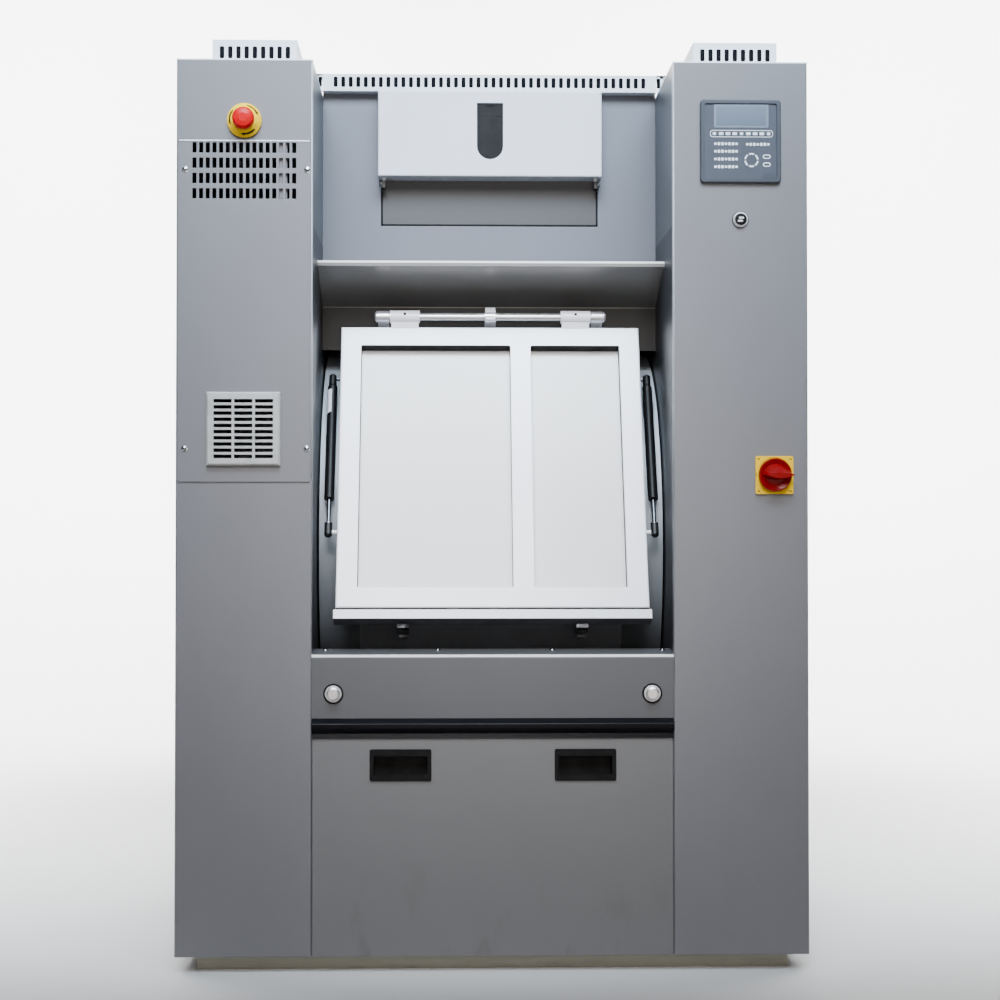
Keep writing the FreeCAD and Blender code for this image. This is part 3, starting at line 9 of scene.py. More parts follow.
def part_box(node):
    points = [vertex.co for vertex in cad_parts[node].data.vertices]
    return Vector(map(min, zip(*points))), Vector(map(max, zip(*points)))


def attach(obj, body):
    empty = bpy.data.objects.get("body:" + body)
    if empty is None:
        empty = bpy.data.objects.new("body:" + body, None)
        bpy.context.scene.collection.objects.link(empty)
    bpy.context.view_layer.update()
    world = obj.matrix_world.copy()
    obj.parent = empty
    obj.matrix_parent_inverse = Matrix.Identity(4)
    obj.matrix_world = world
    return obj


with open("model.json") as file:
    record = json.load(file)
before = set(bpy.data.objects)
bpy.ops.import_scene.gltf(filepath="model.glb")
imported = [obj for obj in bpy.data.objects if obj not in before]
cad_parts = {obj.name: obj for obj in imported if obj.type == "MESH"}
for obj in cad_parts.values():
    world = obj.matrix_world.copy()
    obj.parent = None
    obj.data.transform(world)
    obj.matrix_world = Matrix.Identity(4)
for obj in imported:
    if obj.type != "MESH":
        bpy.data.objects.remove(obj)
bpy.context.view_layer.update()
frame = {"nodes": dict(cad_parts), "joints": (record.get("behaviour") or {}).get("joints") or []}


# Base rails: four channels of rolled steel that the whole machine is bolted down by.
# Beige-grey primer, thin and a little chalky, with scuffs from the floor along the lower edge.
class Value:
    """A socket inside a material. Sums written on it add Math nodes."""

    def __init__(self, tree, socket):
        self.tree, self.socket = tree, socket

    def add(self, kind, settings=None, sockets=None, out=0):
        """Any other node: its type, its settings, then the values or links of its sockets."""
        node = self.tree.nodes.new("ShaderNode" + kind)
        for name, value in (settings or {}).items():
            setattr(node, name, value)
        for name, value in (sockets or {}).items():
            if isinstance(value, Value):
                self.tree.links.new(value.socket, node.inputs[name])
            else:
                node.inputs[name].default_value = value
        return Value(self.tree, node.outputs[out])

    def sum(self, operation, *terms):
        return self.add("Math", {"operation": operation}, dict(enumerate(terms)))

    def __add__(self, other):
        return self.sum("ADD", self, other)

    def __sub__(self, other):
        return self.sum("SUBTRACT", self, other)

    def __rsub__(self, other):
        return self.sum("SUBTRACT", other, self)

    def __mul__(self, other):
        return self.sum("MULTIPLY", self, other)

    def __lt__(self, other):
        return self.sum("LESS_THAN", self, other)

    def __gt__(self, other):
        return self.sum("GREATER_THAN", self, other)

    def __abs__(self):
        return self.sum("ABSOLUTE", self)

    __radd__, __rmul__ = __add__, __mul__

    def axis(self, name):
        """X, Y or Z of a vector."""
        return self.add("SeparateXYZ", sockets={"Vector": self}, out="XYZ".index(name))

    def noise(self, scale, detail=2.0, stretch=(1, 1, 1)):
        """Cloudy pattern in metres, drawn out along an axis by a stretch under 1."""
        place = self.add("VectorMath", {"operation": "MULTIPLY"}, {0: self, 1: stretch})
        return self.add("TexNoise", sockets={"Vector": place, "Scale": scale, "Detail": detail})

    def ramp(self, low, high):
        """0 below low, 1 above high."""
        return self.add("MapRange", sockets={"Value": self, "From Min": low, "From Max": high})

    def tint(self, first, second):
        """Colour that goes from the first to the second as this value goes from 0 to 1."""
        pair = [c if isinstance(c, Value) else (*c, 1) for c in (first, second)]
        return self.add("Mix", {"data_type": "RGBA"}, {0: self, 6: pair[0], 7: pair[1]}, out=2)

    def bump(self, strength, depth, under=None):
        """Normal of a relief this deep, in metres, over another normal if there is one."""
        sockets = {"Height": self, "Strength": strength, "Distance": depth}
        if under:
            sockets["Normal"] = under
        return self.add("Bump", sockets=sockets)


def srgb(red, green, blue):
    """Screen colour, 0 to 255, as the linear colour that a shader takes."""
    return tuple(((c / 255 + 0.055) / 1.055) ** 2.4 if c > 10 else c / 255 / 12.92 for c in (red, green, blue))


def new_finish(name, constants):
    """New material with its constant sockets set, and the place in metres to draw on it by."""
    material = bpy.data.materials.new(name)
    material.use_nodes = True
    tree = material.node_tree
    for socket, value in constants.items():
        tree.nodes["Principled BSDF"].inputs[socket].default_value = value
    return material, Value(tree, None).add("TexCoord", out="Object")


def feed(material, **sockets):
    """Link what varies over a surface to its shader: Base_Color=..., Roughness=..., Normal=..."""
    tree = material.node_tree
    for name, value in sockets.items():
        tree.links.new(value.socket, tree.nodes["Principled BSDF"].inputs[name.replace("_", " ")])


def dress(material, *nodes):
    """Give a finish to solids of the frame."""
    for node in nodes:
        slots = frame["nodes"][node].data.materials
        slots.clear()
        slots.append(material)


RAIL_PRIMER, RAIL_CHALK, RAIL_SCUFF = srgb(176, 174, 160), srgb(164, 161, 147), srgb(128, 124, 112)
SCUFF_FULL, SCUFF_END = 0.002, 0.022
primer, place = new_finish("rail_primer", {})
scuff = place.noise(38, 4, (0.2, 0.2, 1)).ramp(0.5, 0.72) * (1 - place.axis("Z").ramp(SCUFF_FULL, SCUFF_END))
chalk = place.noise(420, 3)
feed(primer, Base_Color=scuff.tint(chalk.tint(RAIL_PRIMER, RAIL_CHALK), RAIL_SCUFF),
     Roughness=0.5 + chalk * 0.25, Normal=chalk.bump(0.25, 0.0004))
dress(primer, "base_rails")


# Columns: folded sheet-steel fronts, side sheets on countersunk screws, and inner walls beside the loading door.
# Grey powder coat with a fine orange peel and hazy where hands wipe it, with a painted highlight along the inner
# front folds, strongest high up.
# The inner walls are painted darker than the columns, and darker still from just above the hoods down, as painted
# shade.
COLUMN_GREY, COLUMN_GLOSS, COLUMN_PEEL = srgb(112, 112, 117), 0.3, 0.12
FOLD_RADIUS = 0.0018


def shade(colour, share):
    """The same colour, darkened to a share of its light."""
    return tuple(c * share for c in colour)


def powder_coat(name, colour, gloss, peel):
    """Baked powder paint: orange peel about a millimetre across, and a haze about a hand wide."""
    material, place = new_finish(name, {"Specular IOR Level": 0.5})
    skin = place.noise(760, 2)
    haze = place.noise(5.5, 3, (1, 1, 0.35))
    rub = place.noise(64, 4, (0.12, 1, 1)).ramp(0.62, 0.8)
    fold = place.add("Bevel", {"samples": 6}, {"Radius": FOLD_RADIUS})
    feed(material, Base_Color=haze.ramp(0.35, 0.65).tint(colour, shade(colour, 0.955)),
         Roughness=gloss + haze * 0.08 + rub * 0.05, Normal=skin.bump(peel, 0.0003, fold))
    return material


def reopen(material):
    """Place and paint of a finish that is made already, to draw more over it."""
    tree = material.node_tree
    painted = tree.nodes["Principled BSDF"].inputs["Base Color"].links[0].from_socket
    return Value(tree, tree.nodes["Texture Coordinate"].outputs["Object"]), Value(tree, painted)


COLUMN_EDGE_HIGHLIGHT, EDGE_HIGHLIGHT_LOW, EDGE_HIGHLIGHT_HIGH = srgb(208, 211, 217), 1.1, 1.7
EDGE_HIGHLIGHT_WIDE, EDGE_HIGHLIGHT_FADE = 0.0022, 0.0008
column_paint = powder_coat("column_powder_coat", COLUMN_GREY, COLUMN_GLOSS, COLUMN_PEEL)
place, paint = reopen(column_paint)
# The bright band along the inner front folds is a painted highlight, strongest high up.
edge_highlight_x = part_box("right_front_panel")[0].x + EDGE_HIGHLIGHT_WIDE
painted_edge_highlight = (1 - abs(place.axis("X")).ramp(edge_highlight_x, edge_highlight_x + EDGE_HIGHLIGHT_FADE)) * place.axis("Z").ramp(EDGE_HIGHLIGHT_LOW, EDGE_HIGHLIGHT_HIGH)
feed(column_paint, Base_Color=painted_edge_highlight.tint(paint, COLUMN_EDGE_HIGHLIGHT))
dress(column_paint, "left_front_panel", "right_front_panel", "service_panel")

SIDE_INSET, SIDE_FIRST, SIDE_PITCH, SIDE_SKIN = 0.03, 0.06, 0.62, 0.0005
SINK_RADIUS, DRIVE_RADIUS, SINK_BRIGHT, DRIVE_SHADE = 0.0062, 0.0022, srgb(196, 198, 201), srgb(22, 22, 24)
side_low, side_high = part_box("right_side_panel")
side_paint = powder_coat("side_powder_coat", COLUMN_GREY, COLUMN_GLOSS, COLUMN_PEEL)
place, paint = reopen(side_paint)
down = place.sum("PINGPONG", place.axis("Z") - side_low.z - SIDE_FIRST, SIDE_PITCH / 2)
across = place.sum("PINGPONG", place.axis("Y") - side_low.y - SIDE_INSET,
                   (side_high.y - side_low.y) / 2 - SIDE_INSET)
reach = down * down + across * across
outside = abs(place.axis("X")) > side_high.x - SIDE_SKIN
# Countersunk heads painted on the side sheets, with the shade in their drives painted near-black.
head, drive_shade = (reach < SINK_RADIUS ** 2) * outside, (reach < DRIVE_RADIUS ** 2) * outside
feed(side_paint, Base_Color=drive_shade.tint(head.tint(paint, SINK_BRIGHT), DRIVE_SHADE), Metallic=head - drive_shade)
dress(side_paint, "left_side_panel", "right_side_panel")

INNER_GREY, INNER_SHADE, SHADE_RISE, SHADE_FADE = srgb(98, 102, 108), srgb(46, 48, 53), 0.06, 0.002
inner_paint = powder_coat("inner_wall_powder_coat", INNER_GREY, 0.36, COLUMN_PEEL)
place, paint = reopen(inner_paint)
# Darker below a level just above the hoods: painted shade cast by the hoods.
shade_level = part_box("front_hood")[1].z + SHADE_RISE
feed(inner_paint, Base_Color=place.axis("Z").ramp(shade_level - SHADE_FADE, shade_level).tint(INNER_SHADE, paint))
dress(inner_paint, "left_inner_wall", "right_inner_wall")


# Roof covers and vent strip: sheet-steel lids on the columns, each with a slotted vent box, and the slotted
# strip that stands along the front of the bridge's roof. The same powder coat, painted near-white as painted light
# from above.
# Painted near-white as painted light from above.
lit_roof_paint = powder_coat("lit_roof_powder_coat", srgb(226, 230, 237), 0.34, 0.1)
dress(lit_roof_paint, "left_roof_cover", "right_roof_cover", "bridge_roof")


# Service panel: four pan-head screws hold it on the left column, its top edge is a rolled lip in the near-white roof
# paint as a painted highlight, and a grey sheet stands behind its right-hand slots. The screws are cold-headed and
# zinc-plated, a little dulled by fingers, with the shade in their recesses painted as near-black discs.
def lathe(mesh, profile, seat, facing=(0, -1, 0), spokes=32):
    """Turn (height, radius) pairs round an axis on the seat. A ring closes; a head gets a flat foot."""
    turn = Vector(facing).to_track_quat("Z", "Y").to_matrix().to_4x4()
    turn.translation = Vector(seat)
    angles = [2 * math.pi * k / spokes for k in range(spokes)]
    rings = []
    for height, radius in profile:
        if radius:
            rings.append([mesh.verts.new(turn @ Vector((radius * math.cos(a), radius * math.sin(a), height)))
                          for a in angles])
        else:
            rings.append([mesh.verts.new(turn @ Vector((0, 0, height)))] * spokes)
    if profile[0][1] and profile[-1][1]:
        rings.append(rings[0])
    elif profile[0][1]:
        mesh.faces.new(rings[0])
    for lower, upper in zip(rings, rings[1:]):
        for k in range(spokes):
            corners = [lower[k], lower[(k + 1) % spokes], upper[(k + 1) % spokes], upper[k]]
            corners = [c for i, c in enumerate(corners) if c not in corners[:i]]
            if len(corners) > 2:
                mesh.faces.new(corners)


def slab(mesh, low, high):
    """Block between two corners."""
    low, high = Vector(low), Vector(high)
    bmesh.ops.create_cube(mesh, size=1, matrix=Matrix.Translation((low + high) / 2)
                          @ Matrix.Diagonal((*(high - low), 1)))


def piece(name, mesh, material, body, bevel=0.0):
    """Finished piece: soft edges, its material and the body that it rides on."""
    bmesh.ops.recalc_face_normals(mesh, faces=mesh.faces)
    data = bpy.data.meshes.new(name)
    mesh.to_mesh(data)
    mesh.free()
    made = bpy.data.objects.new(name, data)
    bpy.context.collection.objects.link(made)
    data.materials.append(material)
    sharp = math.radians(40)
    if bevel:
        edge = made.modifiers.new("edge", "BEVEL")
        edge.width, edge.segments, edge.limit_method, edge.angle_limit = bevel, 2, "ANGLE", sharp
    data.shade_smooth()
    data.set_sharp_from_angle(angle=sharp)
    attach(made, body)


def bright_metal(name, colour, rough, metallic=1.0):
    """Bright plated or polished metal with fine turning marks and finger haze."""
    material, place = new_finish(name, {"Metallic": metallic})
    line = place.noise(2400, 2, (1, 1, 0.1))
    haze = place.noise(90, 3)
    feed(material, Base_Color=haze.tint(colour, shade(colour, 0.86)),
         Roughness=rough + haze * 0.12, Normal=line.bump(0.02, 0.0002))
    return material


SCREW_HEAD, SCREW_HEIGHT, WASHER = 0.0056, 0.0034, 1.18
RECESS_HEAD, RECESS_DEPTH = 0.3, 0.7
zinc = bright_metal("zinc_plate", srgb(212, 214, 216), 0.12)
# The recesses of the screw heads get near-black discs of painted shade.
recess_shade, place = new_finish("screw_recess", {"Roughness": 0.7})
feed(recess_shade, Base_Color=place.noise(900, 2).tint((0.006, 0.006, 0.007), (0.02, 0.02, 0.022)))


def pan_head(mesh, seat, facing=(0, -1, 0)):
    """Domed screw head on its washer face."""
    dome = [(0.5, 0.97), (0.85, 0.72), (1, 0.36), (RECESS_DEPTH, RECESS_HEAD), (RECESS_DEPTH, 0)]
    foot = [(-0.0004, SCREW_HEAD * WASHER), (0.0006, SCREW_HEAD * WASHER), (0.0008, SCREW_HEAD)]
    lathe(mesh, foot + [(SCREW_HEIGHT * up, SCREW_HEAD * out) for up, out in dome], seat, facing)


LEFT_INSET, RIGHT_INSET, SCREW_LEVELS = 0.0155, 0.0075, (1.768, 1.151)
LIP_TALL, LIP_OUT, LIP_INSET, LIP_SOFT = 0.0032, 0.0012, 0.002, 0.0005
BAFFLE_LEFT, BAFFLE_RIGHT, BAFFLE_LOW, BAFFLE_HIGH = 0.0745, 0.052, 1.706, 1.834
BAFFLE_GAP, BAFFLE_THICK = 0.006, 0.0015
panel_low, panel_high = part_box("service_panel")
heads, recesses, lip, baffle = bmesh.new(), bmesh.new(), bmesh.new(), bmesh.new()
for x in (panel_low.x + LEFT_INSET, panel_high.x - RIGHT_INSET):
    for z in SCREW_LEVELS:
        pan_head(heads, (x, panel_low.y, z))
        lathe(recesses, [(SCREW_HEIGHT * 0.72, SCREW_HEAD * RECESS_HEAD), (SCREW_HEIGHT * 0.74, 0)],
              (x, panel_low.y, z))
slab(lip, (panel_low.x + LIP_INSET, panel_low.y - LIP_OUT, panel_high.z - LIP_TALL),
     (panel_high.x - LIP_INSET, panel_low.y, panel_high.z))
slab(baffle, (panel_high.x - BAFFLE_LEFT, panel_high.y + BAFFLE_GAP, BAFFLE_LOW),
     (panel_high.x - BAFFLE_RIGHT, panel_high.y + BAFFLE_GAP + BAFFLE_THICK, BAFFLE_HIGH))
# The lip's near-white paint is a painted highlight along the panel's top edge.
piece("service_panel_lip", lip, lit_roof_paint, "cabinet", LIP_SOFT)
piece("slot_baffle", baffle, column_paint, "cabinet")
piece("service_screws", heads, zinc, "cabinet")
piece("service_screw_recesses", recesses, recess_shade, "cabinet")


# Vent screens: near-black sheets behind the slots of the two roof vents and of the bridge's strip, near-black plates
# drawn up into the slots, and the two short ends of the strip that reach over the columns. The sheets and plates are
# painted shade inside the openings, with a fine weave drawn on them; the ends are folded from the roof's sheet.
GAUZE_SHADE, GAUZE_WIRE, WIRE_PITCH = (0.002, 0.002, 0.003), (0.008, 0.008, 0.01), 0.0006
# The sheets and plates are painted near-black as painted shade inside the slots.
shade_gauze, place = new_finish("shade_gauze_black", {"Specular IOR Level": 0.05})
weave = (place.sum("PINGPONG", place.axis("X"), WIRE_PITCH) * 900
         + place.sum("PINGPONG", place.axis("Z"), WIRE_PITCH) * 900)
feed(shade_gauze, Base_Color=weave.ramp(0.3, 0.9).tint(GAUZE_SHADE, GAUZE_WIRE), Roughness=0.7 + weave * 0.1)


def plate(mesh, x, z, wide, tall, corner, y):
    """Flat face towards the viewer with rounded corners, centred at x and z."""
    rim, steps = [], 6
    for turn, (side, up) in enumerate(((1, 1), (-1, 1), (-1, -1), (1, -1))):
        for step in range(steps + 1):
            angle = math.radians(90 * turn + 90 * step / steps)
            rim.append(mesh.verts.new((x + side * (wide / 2 - corner) + corner * math.cos(angle), y,
                                       z + up * (tall / 2 - corner) + corner * math.sin(angle))))
    mesh.faces.new(rim)


def panel_piece(name, faces, material, body, depth, bevel=0.0):
    """Flat faces given a thickness towards the viewer, or away from the viewer where the depth is negative."""
    pushed = bmesh.ops.extrude_face_region(faces, geom=faces.faces[:])
    for part in pushed["geom"]:
        if isinstance(part, bmesh.types.BMVert):
            part.co.y -= depth
    piece(name, faces, material, body, bevel)


SCREEN_GAP, SCREEN_THICK, SCREEN_TOP, SLOT_OUT, SLOT_CORNER = 0.0035, 0.001, 0.0035, 0.0003, 0.003
STRIP_PITCH, STRIP_COUNT, STRIP_SLOT, SLOT_DROP = 0.01795, 42, (0.0094, 0.0246), 0.019
STRIP_INSET, STRIP_SCREEN = 0.006, 0.037
VENT_PITCH, VENT_COUNT, VENT_SLOT, VENT_DROP = 0.0185, 9, (0.0102, 0.0268), 0.0283
VENT_BACK, VENT_HALF, VENT_SCREEN = 0.08, 0.091, 0.058
screens, slots = bmesh.new(), bmesh.new()
strip_low, strip_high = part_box("bridge_roof")
screen_y = strip_low.y + SCREEN_GAP
slab(screens, (strip_low.x + STRIP_INSET, screen_y, strip_high.z - STRIP_SCREEN),
     (strip_high.x - STRIP_INSET, screen_y + SCREEN_THICK, strip_high.z - SCREEN_TOP))
slot_level = strip_high.z - SLOT_DROP
for k in range(STRIP_COUNT):
    plate(slots, (k - (STRIP_COUNT - 1) / 2) * STRIP_PITCH, slot_level, *STRIP_SLOT, SLOT_CORNER,
          strip_low.y - SLOT_OUT)
for node, shift in (("left_roof_cover", 0.015), ("right_roof_cover", 0.0)):
    lid_low, lid_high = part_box(node)
    x, y = (lid_low.x + lid_high.x) / 2 + shift, lid_low.y + VENT_BACK
    slab(screens, (x - VENT_HALF, y + SCREEN_GAP, lid_high.z - VENT_SCREEN),
         (x + VENT_HALF, y + SCREEN_GAP + SCREEN_THICK, lid_high.z - SCREEN_TOP))
    for k in range(VENT_COUNT):
        plate(slots, x + (k - (VENT_COUNT - 1) / 2) * VENT_PITCH, lid_high.z - VENT_DROP, *VENT_SLOT, SLOT_CORNER,
              y - SLOT_OUT)
piece("vent_screens", screens, shade_gauze, "cabinet")
panel_piece("slot_shade_plates", slots, shade_gauze, "cabinet", -SLOT_OUT)

END_IN, END_OUT, END_SLOT_HALF, END_SHEET, END_DEEP = 0.4005, 0.431, 0.0118, 0.003, 0.06
END_BARS, END_GAUZE = ((0.4088, 0.4168), (0.4268, END_OUT)), (0.4008, 0.4305)
LID_DROP, GAUZE_RISE = 0.062, 0.0005
ends, end_gauze = bmesh.new(), bmesh.new()
lid = lid_high.z - LID_DROP
for side in (-1, 1):
    for near, far, low, high in ((END_IN, END_OUT, lid, slot_level - END_SLOT_HALF),
                                 (END_IN, END_OUT, slot_level + END_SLOT_HALF, strip_high.z),
                                 *((*bar, lid, strip_high.z) for bar in END_BARS)):
        slab(ends, (side * near, strip_low.y, low), (side * far, strip_low.y + END_SHEET, high))
    slab(ends, (side * END_IN, strip_low.y, strip_high.z - END_SHEET),
         (side * END_OUT, strip_low.y + END_DEEP, strip_high.z))
    slab(end_gauze, (side * END_GAUZE[0], screen_y, lid + GAUZE_RISE),
         (side * END_GAUZE[1], screen_y + SCREEN_THICK, strip_high.z - SCREEN_TOP))
piece("strip_ends", ends, lit_roof_paint, "cabinet")
piece("strip_end_gauze", end_gauze, shade_gauze, "cabinet")


# Air louvre: the moulded grille over the cooling fan, clipped to the service panel.
# Pale grey plastic with a light spark texture, dulled by dust.
louvre_plastic, place = new_finish("louvre_plastic", {"Specular IOR Level": 0.4})
spark = place.noise(1500, 2)
dust = place.noise(30, 3).ramp(0.4, 0.75)
feed(louvre_plastic, Base_Color=dust.tint(srgb(176, 177, 177), srgb(160, 160, 158)), Roughness=0.42 + spark * 0.15,
     Normal=spark.bump(0.2, 0.0002))
dress(louvre_plastic, "air_louvre")


# Emergency stop: a red mushroom button on a yellow collar, held by a nut behind the panel.
# Moulded plastic with a soft shine, with the three turning arrows printed dark on the collar.
def gloss_plastic(name, colour, rough, coat):
    """Moulded plastic with its skin slightly uneven and dulled in patches by handling."""
    material, place = new_finish(name, {"Coat Weight": coat, "Coat Roughness": 0.12, "Specular IOR Level": 0.12})
    mottle = place.noise(55, 3)
    skin = place.noise(1300, 2)
    feed(material, Base_Color=mottle.ramp(0.3, 0.7).tint(colour, shade(colour, 0.9)),
         Roughness=rough + mottle * 0.14, Normal=skin.bump(0.08, 0.0002))
    return material


signal_yellow = gloss_plastic("signal_yellow_plastic", srgb(246, 200, 0), 0.4, 0.0)
signal_red = gloss_plastic("signal_red_plastic", srgb(190, 2, 14), 0.3, 0.04)
print_black = gloss_plastic("black_print", srgb(30, 28, 24), 0.5, 0.0)
dress(signal_yellow, "stop_collar")
dress(signal_red, "stop_button")


def middle(low, high):
    """X and Z of the middle between two corners."""
    return (low.x + high.x) / 2, (low.z + high.z) / 2


PRINT, CONE_WIDE, CONE_STEP = 0.0002, 0.2895, 0.4
collar_low, collar_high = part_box("stop_collar")
collar_x, collar_z = middle(collar_low, collar_high)
collar_radius, collar_tall = (collar_high.x - collar_low.x) / 2, collar_high.y - collar_low.y
ARROW_START, ARROW_SWEEP, ARROW_STEPS, ARROW_IN, ARROW_OUT = 78, 46, 10, 0.795, 0.88
TIP_MIDDLE, TIP_HALF, TIP_STEPS, TIP_SWEEP = 0.838, 0.082, 5, 15


def collar_point(mesh, share, angle):
    """Point just above the collar's cone, which slopes from its edge to its top, at a share of its radius."""
    height = collar_tall * (CONE_STEP + (1 - CONE_STEP) * (1 - share) / CONE_WIDE) + PRINT
    radius = collar_radius * share
    return mesh.verts.new((collar_x + radius * math.cos(angle), collar_high.y - height,
                           collar_z + radius * math.sin(angle)))


def band(mesh, first, second):
    """Strip of faces between two rows of points."""
    for k in range(len(first) - 1):
        mesh.faces.new((first[k], first[k + 1], second[k + 1], second[k]))


arrows = bmesh.new()
for third in range(3):
    start = math.radians(ARROW_START + 120 * third)
    angles = [start - math.radians(ARROW_SWEEP) * k / ARROW_STEPS for k in range(ARROW_STEPS + 1)]
    band(arrows, *([collar_point(arrows, share, a) for a in angles] for share in (ARROW_IN, ARROW_OUT)))
    turns = [angles[-1] - math.radians(TIP_SWEEP) * k / TIP_STEPS for k in range(TIP_STEPS + 1)]
    barbs = [[collar_point(arrows, TIP_MIDDLE + side * TIP_HALF * (1 - k / TIP_STEPS), turns[k])
              for k in range(TIP_STEPS)] for side in (-1, 1)]
    band(arrows, *barbs)
    arrows.faces.new((barbs[0][-1], collar_point(arrows, TIP_MIDDLE, turns[-1]), barbs[1][-1]))
panel_piece("stop_arrows", arrows, print_black, "cabinet", -PRINT)


# Keypad: a moulded surround screwed to the right column, with a membrane overlay let into it.
# Dark grey plastic with a satin skin; the overlay is printed polyester with plain key marks and a display.
def satin_plastic(name, colour, rough, spark_scale=1100):
    """Moulded plastic with a spark-eroded skin, slightly worn and greasy in patches."""
    material, place = new_finish(name, {"Specular IOR Level": 0.16})
    spark = place.noise(spark_scale, 2)
    worn = place.noise(34, 4).ramp(0.42, 0.7)
    feed(material, Base_Color=worn.tint(colour, tuple(c * 0.88 + 0.004 for c in colour)),
         Roughness=rough - worn * 0.1 + spark * 0.08, Normal=spark.bump(0.22, 0.00025))
    return material


FILM_SPARK = 2200
pad_low, pad_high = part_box("keypad_frame")
pad_wide, pad_tall = pad_high.x - pad_low.x, pad_high.z - pad_low.z
overlay_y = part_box("keypad_membrane")[0].y
dress(satin_plastic("keypad_surround_plastic", srgb(68, 71, 79), 0.5), "keypad_frame")
dress(satin_plastic("overlay_film", srgb(72, 76, 85), 0.4, FILM_SPARK), "keypad_membrane")
bezel_film = satin_plastic("display_bezel_film", srgb(112, 121, 133), 0.34, FILM_SPARK)
key_white = satin_plastic("key_print_white", srgb(222, 226, 232), 0.5, FILM_SPARK)
key_dark = satin_plastic("key_print_dark", srgb(66, 70, 79), 0.46, FILM_SPARK)
display_glass, place = new_finish("display_glass", {"Specular IOR Level": 0.3})
cells = place.noise(1400, 1, (1, 1, 0.5))
# The display's upper part is painted lighter as painted light from above.
display_top_light = place.axis("Z").ramp(pad_high.z - 0.34 * pad_tall, pad_high.z - 0.06 * pad_tall)
feed(display_glass, Base_Color=display_top_light.tint(srgb(92, 101, 114), srgb(106, 116, 129)), Roughness=0.16 + cells * 0.08)


def pad_point(u, v):
    """Place on the keypad, counted from its upper left corner as shares of its size."""
    return pad_low.x + u * pad_wide, pad_high.z - v * pad_tall


def pad_plate(mesh, centre, wide, tall, corner, lift):
    """Rounded plate on the overlay, with its centre and size as shares of the keypad's size."""
    plate(mesh, *pad_point(*centre), pad_wide * wide, pad_tall * tall, corner, overlay_y - lift)


DISPLAY, SOFT_ROW = (0.508, 0.197), 0.409
SOFT_KEYS = (0.511, SOFT_ROW)
for name, centre, wide, tall, corner, lift, material, depth, bevel in (
        ("display_bezel", DISPLAY, 0.676, 0.282, 0.003, 0.0001, bezel_film, 0.0006, 0.0002),
        ("display_window", DISPLAY, 0.62, 0.225, 0.002, 0.0007, display_glass, 0.0005, 0.0002),
        ("soft_key_rim", SOFT_KEYS, 0.777, 0.084, pad_tall * 0.03, 0.0002, key_white, -0.0002, 0.0),
        ("soft_key_strip", SOFT_KEYS, 0.762, 0.069, pad_tall * 0.024, 0.0003, key_dark, -0.0001, 0.0)):
    film = bmesh.new()
    pad_plate(film, centre, wide, tall, corner, lift)
    panel_piece(name, film, material, "cabinet", depth, bevel)

MARK_LIFT, CENTRE_LIFT, SOFT_FIRST, SOFT_PITCH, KEY_PITCH = 0.0005, 0.0007, 0.175, 0.084, 0.0435
KEY_ROWS = [(0.188, 0.531), (0.188, 0.621), (0.188, 0.714), (0.188, 0.806), (0.582, 0.536)]
DIAL, DIAL_IN, DIAL_OUT, DIAL_STEPS = (0.634, 0.725), 0.0122, 0.0158, 7
OVALS = ((0.823, 0.683), (0.823, 0.778))
marks, centres = bmesh.new(), bmesh.new()
for key in range(9):
    pad_plate(marks, (SOFT_FIRST + SOFT_PITCH * key, SOFT_ROW), 0.056 if key % 4 else 0.04, 0.034, 0.0012, MARK_LIFT)
for start, row in KEY_ROWS:
    for key in range(7):
        pad_plate(marks, (start + KEY_PITCH * key, row), 0.031, 0.036 if key % 3 else 0.028, 0.0011, MARK_LIFT)
dial_x, dial_z = pad_point(*DIAL)
for arc in range(6):
    angles = [math.radians(60 * arc + 6 + 46 * k / DIAL_STEPS) for k in range(DIAL_STEPS + 1)]
    band(marks, *([marks.verts.new((dial_x + r * math.cos(a), overlay_y - MARK_LIFT, dial_z + r * math.sin(a)))
                   for a in angles] for r in (DIAL_IN, DIAL_OUT)))
for oval in OVALS:
    pad_plate(marks, oval, 0.095, 0.05, pad_tall * 0.024, MARK_LIFT)
    pad_plate(centres, oval, 0.07, 0.028, pad_tall * 0.0135, CENTRE_LIFT)
pad_plate(centres, (0.86, 0.915), 0.165, 0.062, 0.0018, MARK_LIFT)
panel_piece("key_marks", marks, key_white, "cabinet", -MARK_LIFT)
panel_piece("key_centres", centres, key_dark, "cabinet", -MARK_LIFT)


# Key switch: a lock barrel in a bright screwed ring below the keypad, on a black seat ring; its black also stands as
# painted shade round the bright ring.
# Satin chrome on the ring; the barrel's face is a black disc with a bright keyway guard.
ring_chrome = bright_metal("satin_chrome", srgb(238, 239, 242), 0.3, 0.55)
lock_black = satin_plastic("lock_face_black", srgb(3, 3, 4), 0.55)
dress(ring_chrome, "key_switch_ring")
dress(lock_black, "key_switch_barrel")
DISC_NECK, DISC_GAP = 0.0105, 0.0001
DISC_EDGE = [(DISC_GAP, 0.0134), (0.0004, 0.0134), (0.0006, 0.013), (0.0006, 0)]
SEAT_SHADE_RING = [(0, 0.0166), (0, 0.0188), (0.0011, 0.0186), (0.0014, 0.0166)]
GUARD, GUARD_CORNER, GUARD_ASIDE, GUARD_UP = (0.0112, 0.0042), 0.0016, 0.0012, 0.0034
GUARD_OUT, GUARD_THICK, GUARD_SOFT = 0.0005, 0.0007, 0.0002
barrel_low, barrel_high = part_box("key_switch_barrel")
lock_x, lock_z = middle(barrel_low, barrel_high)
ring_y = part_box("key_switch_ring")[0].y
ring_out = barrel_low.y - ring_y
face_disc, seat_shade_ring, guard = bmesh.new(), bmesh.new(), bmesh.new()
neck = [(0, DISC_NECK), (ring_out + DISC_GAP, DISC_NECK)]
